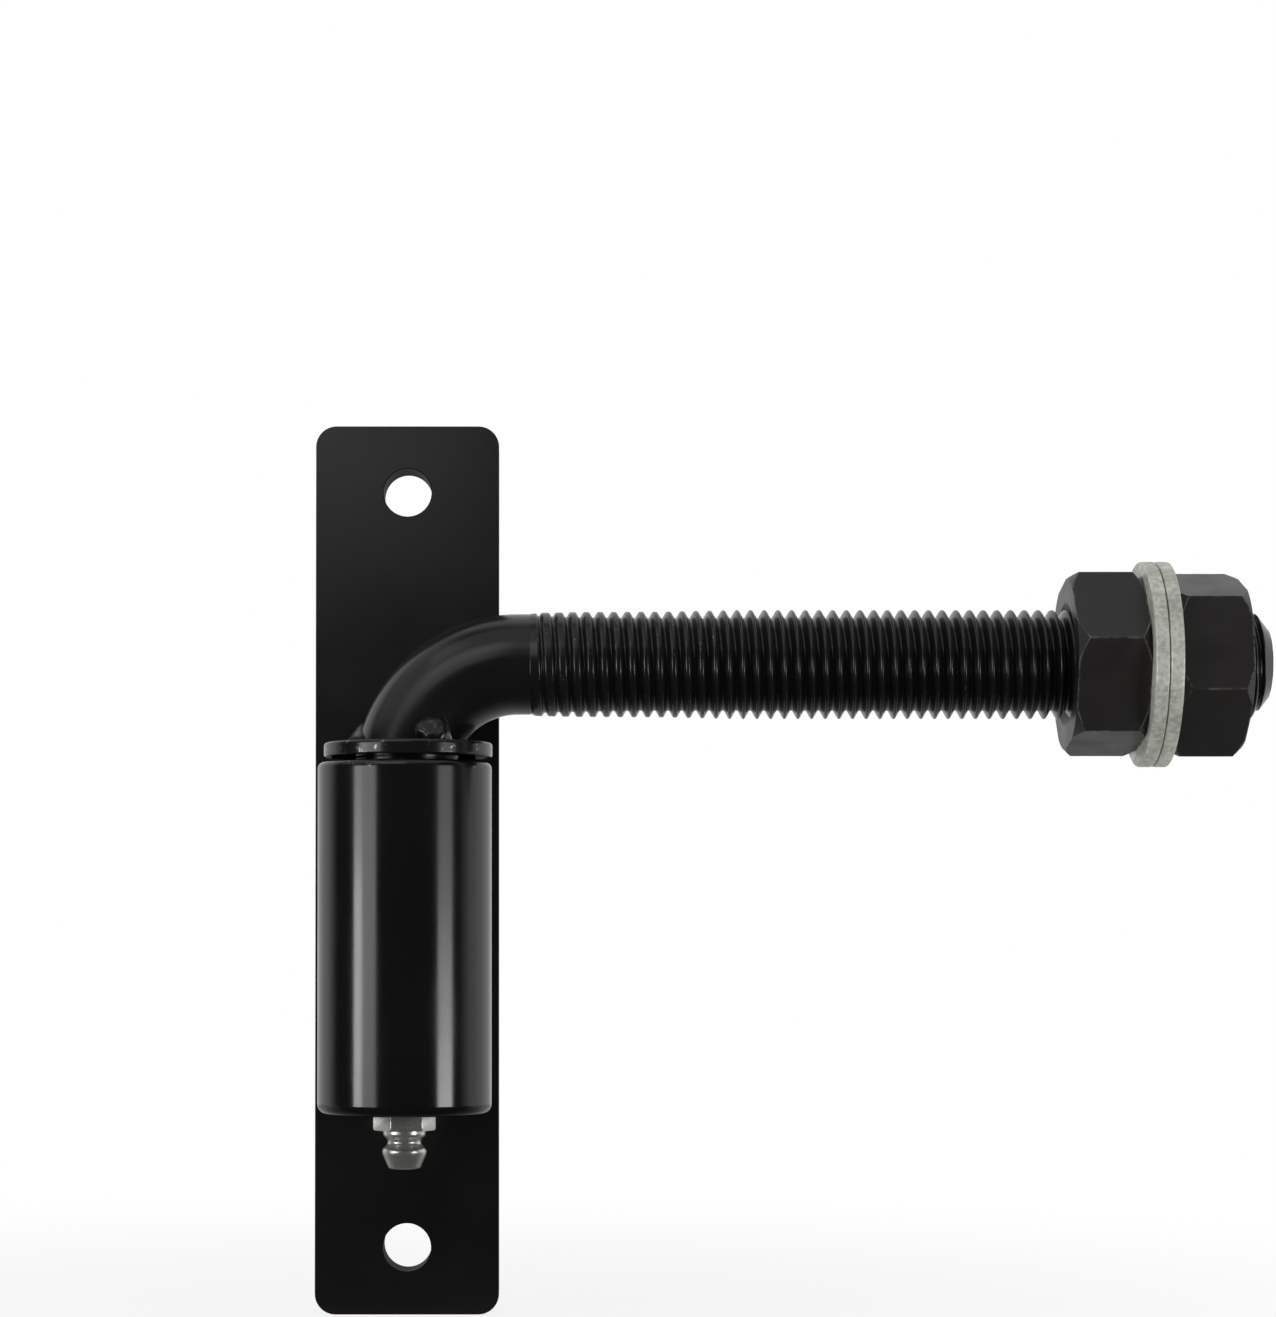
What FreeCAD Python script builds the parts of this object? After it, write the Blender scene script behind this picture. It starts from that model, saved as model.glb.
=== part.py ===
import FreeCAD, Part

import math
import os

# Adjustable gate hinge, in millimetres.
# Origin: centre of the plate's back face. +X along the threaded arm, +Y into the wall, +Z up the hinge axis.

# Driving dimensions

# Plate
plate_width = 27.5
plate_height = 133.0
plate_thickness = 8.0
plate_corner_radius = 3.1
plate_edge_rounding = 0.12
plate_hole_diameter = 7.2
plate_hole_inset = 10.0

# Barrel: one turned piece with a blind bore for the pin
barrel_diameter = 25.4
barrel_length = 51.2
barrel_top_z = 15.3
barrel_top_rounding = 0.9
barrel_bottom_rounding = 1.4
bore_mouth_chamfer = 1.3
bore_drill_angle = 118.0
bore_floor_thickness = 8.8
grease_channel_diameter = 3.0

# Weld beads between barrel and plate
left_bead_reach = 13.3
right_bead_reach = 12.4
bead_bulge = 0.5
bead_collar_clearance = 0.25
bead_stop_above_barrel_bottom = 3.0
bead_root_x = 1.6
bead_lip_share = 0.83

# Bent rod: pin, bend and arm are one piece
rod_diameter = 14.7
thread_diameter = 16.0
thread_root_diameter = 14.2
thread_first_diameter = 15.0
thread_pitch = 2.0
thread_start_x = 18.2
thread_run_in_length = 29.8
arm_length = 126.0
arm_z = 29.65
bend_radius = 16.5
arm_tip_diameter = 10.4
arm_tip_chamfer_length = 2.2
pin_end_chamfer = 0.8
pin_seat_angle = 90.0
pin_seat_diameter = 9.0
thrust_ball_diameter = 10.0

# Collar: a plain washer slipped over the rod where the bend begins
collar_diameter = 24.6
collar_hole_diameter = 17.0
collar_thickness = 2.1
collar_gap_above_barrel = 0.75
collar_edge_rounding = 0.35
collar_offset_x = 0.5
collar_bead_leg = 2.1
collar_bead_rise = 1.5
collar_bead_root_depth = 1.5
collar_bead_waist_leg_share = 0.35
collar_bead_waist_rise_share = 0.45
collar_bead_from_angle = 80.0
collar_bead_to_angle = 225.0
collar_blob_radius = 3.3
collar_blob_x = 4.4
collar_blob_in_front = 5.9
collar_blob_lift = 0.6

# Nuts and washers on the arm
nut_width_across_flats = 24.0
nut_height = 10.5
nut_face_diameter = 25.0
nut_chamfer_angle = 45.0
nut_countersink = 1.0
inner_nut_turn = 12.0
outer_nut_turn = -19.0
washer_diameter = 30.0
washer_hole_diameter = 17.0
washer_thickness = 2.0
washer_edge_rounding = 0.3
clamp_setback = 18.8

# Grease fitting
fitting_hex_across_flats = 7.94
fitting_hex_height = 2.5
fitting_hex_chamfer = 0.35
fitting_hex_face_inset = 0.05
fitting_shank_diameter = 6.2
fitting_shank_length = 5.2
fitting_shank_chamfer = 0.4
fitting_hole_spare = 0.5
fitting_shoulder_drop = 0.7
fitting_neck_diameter = 4.9
fitting_neck_drop = 1.4
fitting_neck_length = 0.5
fitting_neck_end_drop = fitting_neck_drop + fitting_neck_length
fitting_collar_diameter = 6.5
fitting_collar_drop = 3.4
fitting_collar_land = 0.7
fitting_tip_diameter = 4.6
fitting_tip_drop = 5.6
fitting_tip_easing = 0.4
fitting_bore_diameter = 2.9
fitting_tip_hole_diameter = 1.7
fitting_lip_hole_diameter = 1.5
fitting_lip_thickness = 0.6
check_ball_diameter = 2.4
check_ball_seat_drop = 4.6
spring_wire_diameter = 0.36
spring_mean_diameter = 2.0
spring_turns = 5

# Clearances
pin_clearance = 0.06
thread_clearance = 0.05
ball_seat_clearance = 0.04
face_clearance = 0.05
washer_pair_gap = 0.15
shank_clearance = 0.05
spring_end_clearance = 0.03
cut_overshoot = 1.0
match_tolerance = 1e-6

# Derived sizes

plate_hole_spacing = plate_height - 2 * plate_hole_inset
barrel_radius = barrel_diameter / 2
barrel_bottom_z = barrel_top_z - barrel_length
barrel_y = -plate_thickness - barrel_radius
rod_radius = rod_diameter / 2
thread_radius = thread_diameter / 2
thread_root_radius = thread_root_diameter / 2
thread_first_radius = thread_first_diameter / 2
bore_radius = rod_radius + pin_clearance
bend_z = arm_z - bend_radius
collar_bottom_z = barrel_top_z + collar_gap_above_barrel
bead_top_z = collar_bottom_z - bead_collar_clearance
collar_top_z = collar_bottom_z + collar_thickness
nut_inradius = nut_width_across_flats / 2
nut_outradius = nut_inradius / math.cos(math.radians(30.0))
washer_radius = washer_diameter / 2

# Ball seats: the drill point at the bottom of the bore, and a cone in the pin's end
drill_half_angle = math.radians(bore_drill_angle / 2)
drill_apex_z = barrel_bottom_z + bore_floor_thickness
drill_rim_z = drill_apex_z + bore_radius / math.tan(drill_half_angle)
thrust_ball_radius = thrust_ball_diameter / 2
thrust_ball_z = drill_apex_z + (thrust_ball_radius + ball_seat_clearance) / math.sin(drill_half_angle)
seat_half_angle = math.radians(pin_seat_angle / 2)
seat_apex_z = thrust_ball_z + (thrust_ball_radius + ball_seat_clearance) / math.sin(seat_half_angle)
pin_end_z = seat_apex_z - pin_seat_diameter / 2 / math.tan(seat_half_angle)

# Stack along the arm, set back from its free end
inner_washer_start_x = arm_length - clamp_setback
inner_washer_end_x = inner_washer_start_x + washer_thickness
inner_nut_end_x = inner_washer_start_x - face_clearance
inner_nut_start_x = inner_nut_end_x - nut_height
outer_washer_start_x = inner_washer_end_x + washer_pair_gap
outer_washer_end_x = outer_washer_start_x + washer_thickness
outer_nut_start_x = outer_washer_end_x + face_clearance

# Grease fitting heights, from the barrel's bottom face down
fitting_top_z = barrel_bottom_z + fitting_shank_length
fitting_hex_z = barrel_bottom_z - fitting_hex_height
fitting_tip_z = fitting_hex_z - fitting_tip_drop
check_ball_radius = check_ball_diameter / 2
check_ball_z = fitting_hex_z - check_ball_seat_drop + check_ball_radius

AXIS_X = FreeCAD.Vector(1, 0, 0)
AXIS_Y = FreeCAD.Vector(0, 1, 0)
AXIS_Z = FreeCAD.Vector(0, 0, 1)
BARREL_FOOT = FreeCAD.Vector(0, barrel_y, 0)


def vec(x, y, z):
    """Point or direction."""
    return FreeCAD.Vector(x, y, z)


def on_barrel_axis(radius, z):
    """Point in the XZ half plane through the barrel axis."""
    return vec(radius, barrel_y, z)


def on_arm_axis(x, radius):
    """Point in the XZ half plane through the arm's axis."""
    return vec(x, barrel_y, arm_z + radius)


def turned(points, start, direction):
    """Solid of revolution from a closed profile."""
    wire = Part.makePolygon(points + [points[0]])
    return Part.Face(wire).revolve(start, direction, 360.0)


def circle_edges(shape, radius, direction):
    """Full circles of one radius that lie across one direction."""
    found = []
    for edge in shape.Edges:
        curve = edge.Curve
        if not isinstance(curve, Part.Circle):
            continue
        if abs(curve.Radius - radius) > match_tolerance:
            continue
        if abs(abs(curve.Axis.dot(direction)) - 1) > match_tolerance:
            continue
        found.append(edge)
    return found


def hexagon(outradius, turn, place):
    """Closed hexagon wire, with place giving the point for each angle."""
    points = []
    for corner in range(7):
        angle = math.radians(turn + 60.0 * corner)
        points.append(place(outradius * math.cos(angle), outradius * math.sin(angle)))
    return Part.makePolygon(points)


def make_plate():
    """Flat plate with rounded corners, eased edges and a screw hole near each end."""
    plate = Part.makeBox(
        plate_width,
        plate_thickness,
        plate_height,
        vec(-plate_width / 2, -plate_thickness, -plate_height / 2),
    )
    corners = [e for e in plate.Edges if e.BoundBox.YLength > match_tolerance]
    plate = plate.makeFillet(plate_corner_radius, corners)
    rims = [e for e in plate.Edges if e.BoundBox.YLength < match_tolerance]
    plate = plate.makeFillet(plate_edge_rounding, rims)
    for side in (-1, 1):
        start = vec(0, -plate_thickness - cut_overshoot, side * plate_hole_spacing / 2)
        depth = plate_thickness + 2 * cut_overshoot
        plate = plate.cut(Part.makeCylinder(plate_hole_diameter / 2, depth, start, AXIS_Y))
    return plate


def make_barrel():
    """Turned barrel with a drilled blind bore, and a hole in its floor for the grease fitting."""
    body = Part.makeCylinder(barrel_radius, barrel_length, on_barrel_axis(0, barrel_bottom_z), AXIS_Z)
    middle_z = (barrel_top_z + barrel_bottom_z) / 2
    top = [e for e in circle_edges(body, barrel_radius, AXIS_Z) if e.BoundBox.ZMin > middle_z]
    body = body.makeFillet(barrel_top_rounding, top)
    low = [e for e in circle_edges(body, barrel_radius, AXIS_Z) if e.BoundBox.ZMax < middle_z]
    body = body.makeFillet(barrel_bottom_rounding, low)
    bore = turned(
        [
            on_barrel_axis(0, drill_apex_z),
            on_barrel_axis(bore_radius, drill_rim_z),
            on_barrel_axis(bore_radius, barrel_top_z - bore_mouth_chamfer),
            on_barrel_axis(bore_radius + bore_mouth_chamfer, barrel_top_z),
            on_barrel_axis(bore_radius + bore_mouth_chamfer, barrel_top_z + cut_overshoot),
            on_barrel_axis(0, barrel_top_z + cut_overshoot),
        ],
        BARREL_FOOT,
        AXIS_Z,
    )
    channel = Part.makeCylinder(
        grease_channel_diameter / 2,
        drill_rim_z - barrel_bottom_z,
        on_barrel_axis(0, barrel_bottom_z),
        AXIS_Z,
    )
    shank_hole = Part.makeCylinder(
        fitting_shank_diameter / 2 + shank_clearance,
        fitting_shank_length + fitting_hole_spare + cut_overshoot,
        on_barrel_axis(0, barrel_bottom_z - cut_overshoot),
        AXIS_Z,
    )
    return body.cut(bore).cut(channel).cut(shank_hole)


def make_barrel_weld(side, reach):
    """Bead that fills the groove between barrel and plate on one side, out to its reach on the plate."""
    z0 = barrel_bottom_z + bead_stop_above_barrel_bottom
    length = bead_top_z - z0
    inner_x = side * bead_root_x
    outer_x = side * reach
    lip_x = outer_x * bead_lip_share
    outer_y = barrel_y + math.sqrt(barrel_radius ** 2 - lip_x ** 2)
    middle = vec(
        (outer_x + lip_x) / 2 + side * bead_bulge,
        (outer_y - plate_thickness) / 2 - bead_bulge / 2,
        z0,
    )
    corner = vec(inner_x, -plate_thickness, z0)
    edge_on_plate = vec(outer_x, -plate_thickness, z0)
    edge_on_barrel = vec(lip_x, outer_y, z0)
    inner_y = barrel_y + math.sqrt(barrel_radius ** 2 - inner_x ** 2)
    inner_on_barrel = vec(inner_x, inner_y, z0)
    mean_angle = (math.atan2(outer_y - barrel_y, lip_x) + math.atan2(inner_y - barrel_y, inner_x)) / 2
    barrel_middle = vec(
        barrel_radius * math.cos(mean_angle),
        barrel_y + barrel_radius * math.sin(mean_angle),
        z0,
    )
    wire = Part.Wire(
        [
            Part.makeLine(corner, edge_on_plate),
            Part.Arc(edge_on_plate, middle, edge_on_barrel).toShape(),
            Part.Arc(edge_on_barrel, barrel_middle, inner_on_barrel).toShape(),
            Part.makeLine(inner_on_barrel, corner),
        ]
    )
    return Part.Face(wire).extrude(vec(0, 0, length))


def thread_outline():
    """Points along the thread, drawn as rings at its pitch, with crests that rise over the run-in."""
    length = arm_length - arm_tip_chamfer_length - thread_start_x
    points = []
    for ring in range(1, math.ceil(length / thread_pitch)):
        crest_x = thread_start_x + ring * thread_pitch
        share = min(1.0, (crest_x - thread_start_x) / thread_run_in_length)
        crest_radius = thread_first_radius + (thread_radius - thread_first_radius) * share
        points.append(on_arm_axis(crest_x - thread_pitch / 2, thread_root_radius))
        points.append(on_arm_axis(crest_x, crest_radius))
    return points


def make_j_bolt():
    """Bent rod: pin with a cone in its end, quarter bend, and threaded arm."""
    pin = turned(
        [
            on_barrel_axis(0, seat_apex_z),
            on_barrel_axis(pin_seat_diameter / 2, pin_end_z),
            on_barrel_axis(rod_radius - pin_end_chamfer, pin_end_z),
            on_barrel_axis(rod_radius, pin_end_z + pin_end_chamfer),
            on_barrel_axis(rod_radius, bend_z),
            on_barrel_axis(0, bend_z),
        ],
        BARREL_FOOT,
        AXIS_Z,
    )
    section = Part.Face(Part.Wire(Part.makeCircle(rod_radius, on_barrel_axis(0, bend_z), AXIS_Z)))
    bend = section.revolve(on_barrel_axis(bend_radius, bend_z), AXIS_Y, 90.0)
    arm = turned(
        [
            on_arm_axis(bend_radius, 0),
            on_arm_axis(bend_radius, rod_radius),
            on_arm_axis(thread_start_x, rod_radius),
            *thread_outline(),
            on_arm_axis(arm_length - arm_tip_chamfer_length, thread_radius),
            on_arm_axis(arm_length, arm_tip_diameter / 2),
            on_arm_axis(arm_length, 0),
        ],
        on_arm_axis(0, 0),
        AXIS_X,
    )
    return pin.fuse([bend, arm]).removeSplitter()


def make_collar():
    """Plain washer over the rod, centred where the bend has begun to lean."""
    start = vec(collar_offset_x, barrel_y, collar_bottom_z)
    collar = Part.makeCylinder(collar_diameter / 2, collar_thickness, start, AXIS_Z)
    collar = collar.makeFillet(collar_edge_rounding, circle_edges(collar, collar_diameter / 2, AXIS_Z))
    return collar.cut(Part.makeCylinder(collar_hole_diameter / 2, collar_thickness, start, AXIS_Z))


def make_collar_weld_outer(rod):
    """Fillet bead on the collar around the outer side of the bend."""
    inner = rod_radius - collar_bead_root_depth
    outer = rod_radius + collar_bead_leg
    waist_radius = rod_radius + collar_bead_leg * collar_bead_waist_leg_share
    waist_z = collar_top_z + collar_bead_rise * collar_bead_waist_rise_share
    profile = [
        on_barrel_axis(inner, collar_top_z),
        on_barrel_axis(outer, collar_top_z),
        on_barrel_axis(waist_radius, waist_z),
        on_barrel_axis(inner, collar_top_z + collar_bead_rise),
    ]
    face = Part.Face(Part.makePolygon(profile + [profile[0]]))
    face.rotate(BARREL_FOOT, AXIS_Z, collar_bead_from_angle)
    bead = face.revolve(BARREL_FOOT, AXIS_Z, collar_bead_to_angle - collar_bead_from_angle)
    return bead.cut(rod)


def make_collar_weld_inner(rod):
    """Rounded blob between collar and rod under the bend, on the front side."""
    centre = vec(collar_blob_x, barrel_y - collar_blob_in_front, collar_top_z + collar_blob_lift)
    blob = Part.makeSphere(collar_blob_radius, centre)
    size = collar_blob_radius * 2
    above = Part.makeBox(size * 2, size * 2, size, centre + vec(-size, -size, -collar_blob_lift))
    pieces = blob.common(above).cut(rod).Solids
    return max(pieces, key=lambda solid: solid.Volume)


def make_nut(start_x, turn):
    """Hex nut with both faces chamfered and a countersunk bore."""
    blank = hexagon(nut_outradius, turn, lambda a, b: vec(start_x, barrel_y - a, arm_z + b))
    nut = Part.Face(blank).extrude(vec(nut_height, 0, 0))
    rise = math.tan(math.radians(nut_chamfer_angle))
    face_radius = nut_face_diameter / 2
    reach = nut_outradius + cut_overshoot
    setback = (reach - face_radius) * rise
    end_x = start_x + nut_height
    nut = nut.common(
        turned(
            [
                on_arm_axis(start_x, 0),
                on_arm_axis(start_x, face_radius),
                on_arm_axis(start_x + setback, reach),
                on_arm_axis(end_x - setback, reach),
                on_arm_axis(end_x, face_radius),
                on_arm_axis(end_x, 0),
            ],
            on_arm_axis(0, 0),
            AXIS_X,
        )
    )
    bore = thread_radius + thread_clearance
    hole = turned(
        [
            on_arm_axis(start_x - cut_overshoot, 0),
            on_arm_axis(start_x - cut_overshoot, bore + nut_countersink + cut_overshoot),
            on_arm_axis(start_x + nut_countersink, bore),
            on_arm_axis(end_x - nut_countersink, bore),
            on_arm_axis(end_x + cut_overshoot, bore + nut_countersink + cut_overshoot),
            on_arm_axis(end_x + cut_overshoot, 0),
        ],
        on_arm_axis(0, 0),
        AXIS_X,
    )
    return nut.cut(hole)


def make_washer(start_x):
    """Plain round washer with eased rims."""
    start = on_arm_axis(start_x, 0)
    washer = Part.makeCylinder(washer_radius, washer_thickness, start, AXIS_X)
    washer = washer.makeFillet(washer_edge_rounding, circle_edges(washer, washer_radius, AXIS_X))
    return washer.cut(Part.makeCylinder(washer_hole_diameter / 2, washer_thickness, start, AXIS_X))


def make_fitting_body():
    """Grease fitting: shank, hex, neck and coupling head, hollow for its ball and spring."""
    collar_z = fitting_hex_z - fitting_collar_drop
    easing = fitting_tip_easing
    out = turned(
        [
            on_barrel_axis(0, fitting_top_z),
            on_barrel_axis(fitting_shank_diameter / 2 - fitting_shank_chamfer, fitting_top_z),
            on_barrel_axis(fitting_shank_diameter / 2, fitting_top_z - fitting_shank_chamfer),
            on_barrel_axis(fitting_shank_diameter / 2, fitting_hex_z - fitting_shoulder_drop),
            on_barrel_axis(fitting_neck_diameter / 2, fitting_hex_z - fitting_neck_drop),
            on_barrel_axis(fitting_neck_diameter / 2, fitting_hex_z - fitting_neck_end_drop),
            on_barrel_axis(fitting_collar_diameter / 2, collar_z + fitting_collar_land),
            on_barrel_axis(fitting_collar_diameter / 2, collar_z),
            on_barrel_axis(fitting_tip_diameter / 2 + easing / 2, fitting_tip_z + easing),
            on_barrel_axis(fitting_tip_diameter / 2 - easing / 2, fitting_tip_z),
            on_barrel_axis(0, fitting_tip_z),
        ],
        BARREL_FOOT,
        AXIS_Z,
    )
    hex_outradius = fitting_hex_across_flats / 2 / math.cos(math.radians(30.0))
    blank = hexagon(hex_outradius, 0.0, lambda a, b: vec(a, barrel_y + b, fitting_hex_z))
    nut = Part.Face(blank).extrude(vec(0, 0, fitting_hex_height - face_clearance))
    cone_top = barrel_bottom_z + cut_overshoot
    cone_radius = hex_outradius + cut_overshoot
    flat_radius = fitting_hex_across_flats / 2 - fitting_hex_face_inset
    slope = fitting_hex_chamfer / (hex_outradius - flat_radius)
    trim = turned(
        [
            on_barrel_axis(0, fitting_hex_z),
            on_barrel_axis(flat_radius, fitting_hex_z),
            on_barrel_axis(cone_radius, fitting_hex_z + slope * (cone_radius - flat_radius)),
            on_barrel_axis(cone_radius, cone_top),
            on_barrel_axis(0, cone_top),
        ],
        BARREL_FOOT,
        AXIS_Z,
    )
    out = out.fuse(nut.common(trim)).removeSplitter()
    bore_radius_small = fitting_bore_diameter / 2
    tip_radius = fitting_tip_hole_diameter / 2
    lip_radius = fitting_lip_hole_diameter / 2
    ball_touch = check_ball_radius + ball_seat_clearance
    seat_z = check_ball_z - ball_touch * math.sqrt(2) + tip_radius
    hollow = turned(
        [
            on_barrel_axis(0, fitting_tip_z - cut_overshoot),
            on_barrel_axis(tip_radius, fitting_tip_z - cut_overshoot),
            on_barrel_axis(tip_radius, seat_z),
            on_barrel_axis(bore_radius_small, seat_z + bore_radius_small - tip_radius),
            on_barrel_axis(bore_radius_small, fitting_top_z - fitting_lip_thickness),
            on_barrel_axis(lip_radius, fitting_top_z - fitting_lip_thickness),
            on_barrel_axis(lip_radius, fitting_top_z + cut_overshoot),
            on_barrel_axis(0, fitting_top_z + cut_overshoot),
        ],
        BARREL_FOOT,
        AXIS_Z,
    )
    return out.cut(hollow)


def make_fitting_spring():
    """Coil spring between the check ball and the lip at the top of the fitting."""
    wire_radius = spring_wire_diameter / 2
    mean_radius = spring_mean_diameter / 2
    reach = check_ball_radius + wire_radius + spring_end_clearance
    low = check_ball_z + math.sqrt(reach ** 2 - mean_radius ** 2)
    high = fitting_top_z - fitting_lip_thickness - wire_radius - spring_end_clearance
    path = Part.makeHelix((high - low) / spring_turns, high - low, mean_radius)
    ring = Part.Wire(Part.makeCircle(wire_radius, vec(mean_radius, 0, 0), AXIS_Y))
    coil = Part.Wire(path).makePipeShell([ring], True, True)
    coil.translate(on_barrel_axis(0, low))
    return coil


def export(name, shape):
    """Write one piece, as a single valid solid."""
    if not shape.isValid():
        raise ValueError(name + " is not valid")
    solids = shape.Solids
    if len(solids) != 1:
        raise ValueError(name + " has " + str(len(solids)) + " solids")
    solids[0].exportStep("parts/" + name + ".step")


def main():
    """Build every piece and write it out."""
    os.makedirs("parts", exist_ok=True)
    rod = make_j_bolt()
    pieces = {
        "mounting_plate": make_plate(),
        "barrel": make_barrel(),
        "barrel_weld_left": make_barrel_weld(-1, left_bead_reach),
        "barrel_weld_right": make_barrel_weld(1, right_bead_reach),
        "thrust_ball": Part.makeSphere(thrust_ball_radius, on_barrel_axis(0, thrust_ball_z)),
        "grease_fitting_body": make_fitting_body(),
        "grease_fitting_ball": Part.makeSphere(check_ball_radius, on_barrel_axis(0, check_ball_z)),
        "grease_fitting_spring": make_fitting_spring(),
        "j_bolt": rod,
        "collar_washer": make_collar(),
        "collar_weld_outer": make_collar_weld_outer(rod),
        "collar_weld_inner": make_collar_weld_inner(rod),
        "inner_nut": make_nut(inner_nut_start_x, inner_nut_turn),
        "inner_washer": make_washer(inner_washer_start_x),
        "outer_washer": make_washer(outer_washer_start_x),
        "outer_nut": make_nut(outer_nut_start_x, outer_nut_turn),
    }
    for name, shape in pieces.items():
        export(name, shape)


main()
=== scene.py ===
"""Adjustable gate hinge: the looks of a bolt-on hinge with a bent, threaded arm."""

import logging
import math
from collections.abc import Callable, Sequence
from dataclasses import dataclass, field
from enum import Enum
from functools import partial
from typing import Any

import bmesh
import bpy
from mathutils import Matrix, Vector, noise


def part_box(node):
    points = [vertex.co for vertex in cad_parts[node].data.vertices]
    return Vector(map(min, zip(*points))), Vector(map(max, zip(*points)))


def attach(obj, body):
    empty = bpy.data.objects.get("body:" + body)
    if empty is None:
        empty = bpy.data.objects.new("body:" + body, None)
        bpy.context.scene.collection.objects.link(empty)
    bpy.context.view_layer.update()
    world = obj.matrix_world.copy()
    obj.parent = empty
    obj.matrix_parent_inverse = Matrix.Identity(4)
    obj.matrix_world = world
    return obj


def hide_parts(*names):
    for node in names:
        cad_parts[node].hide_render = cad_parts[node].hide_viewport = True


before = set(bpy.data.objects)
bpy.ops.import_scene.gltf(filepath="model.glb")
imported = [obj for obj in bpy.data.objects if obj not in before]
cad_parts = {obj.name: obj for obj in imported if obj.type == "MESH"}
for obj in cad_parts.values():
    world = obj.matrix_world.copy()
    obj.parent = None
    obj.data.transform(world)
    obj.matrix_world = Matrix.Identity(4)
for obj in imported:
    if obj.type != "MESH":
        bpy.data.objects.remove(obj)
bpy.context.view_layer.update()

LOG = logging.getLogger("gate_hinge")
MM = 0.001
WEAR = "wear"
WHITE = (1.0, 1.0, 1.0, 1.0)
FULL_TURN = 360.0
HEX_SIDES = 6
HEX_STEP = FULL_TURN / HEX_SIDES
# Points closer than this are one, in metres.
MERGE = 1e-7
# Allowance when places are compared, in millimetres.
HAIR = 0.01
# Facets across a rounded corner of a turned profile.
CORNER_FACETS = 5
# Distance of a supporting point from its corner, and the shortest edge that gets two, in millimetres.
SUPPORT = 0.12
SUPPORTED_LENGTH = 6 * SUPPORT

# Radius, height along the axis and corner rounding of each point, in millimetres.
Profile = Sequence[tuple[float, float, float]]
# Pairs of a place and the value there.
Table = tuple[tuple[float, float], ...]
# Radius and height at an angle, in millimetres.
Ring = Callable[[float], tuple[float, float]]


def linear(code: str) -> tuple[float, float, float, float]:
    """Turn an sRGB hex colour into linear light.

    Args:
        code: Six hex digits after a hash sign.

    Returns:
        Red, green, blue and alpha.
    """
    parts = [int(code[i : i + 2], 16) / 255 for i in (1, 3, 5)]
    low = [p / 12.92 if p <= 0.04045 else ((p + 0.055) / 1.055) ** 2.4 for p in parts]
    return (low[0], low[1], low[2], 1.0)


def per_mm(size: float) -> float:
    """Texture scale in object space for a feature of that many millimetres."""
    return 1.0 / (size * MM)


def add_node(
    tree: bpy.types.NodeTree,
    kind: str,
    settings: dict[str | int, Any] | None = None,
    links: dict[str | int, bpy.types.NodeSocket] | None = None,
) -> bpy.types.Node:
    """Add one node with its settings and links.

    A Mix node's sockets go by number: 0 is its factor, 2 and 3 are values and 6 and 7 colours. Its output 0
    is a value and 2 a colour.

    Args:
        tree: Tree that the node goes into.
        kind: Node type, without the words that all types start with.
        settings: Values by property name, or by socket name (capitalised) or number.
        links: Source sockets by input name or number.

    Returns:
        The new node.
    """
    node = tree.nodes.new("ShaderNode" + kind)
    for key, value in (settings or {}).items():
        if isinstance(key, int) or key[0].isupper():
            node.inputs[key].default_value = value
        else:
            setattr(node, key, value)
    for key, source in (links or {}).items():
        tree.links.new(source, node.inputs[key])
    return node


class Axis(Enum):
    """Axes that pieces are turned about."""

    ARM = (1.0, 0.0, 0.0)
    BEND = (0.0, 1.0, 0.0)
    BARREL = (0.0, 0.0, 1.0)


class Ease(Enum):
    """What a bevel eases."""

    CORNERS = "VERTICES"
    EDGES = "EDGES"


@dataclass(frozen=True)
class Finish:
    """A surface finish that becomes one material."""

    name: str

    def material(self) -> bpy.types.Material:
        """Give the finish's material, made the first time it is asked for.

        Returns:
            The material.
        """
        known = bpy.data.materials.get(self.name)
        if known is not None:
            return known
        made = bpy.data.materials.new(self.name)
        made.use_nodes = True
        made.node_tree.nodes.clear()
        shader = self.shade(made.node_tree)
        add_node(made.node_tree, "OutputMaterial", links={"Surface": shader.outputs[0]})
        return made

    def shade(self, tree: bpy.types.NodeTree) -> bpy.types.Node:
        """Build the shader.

        Args:
            tree: The material's node tree.

        Returns:
            The shader node.
        """
        raise NotImplementedError


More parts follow.
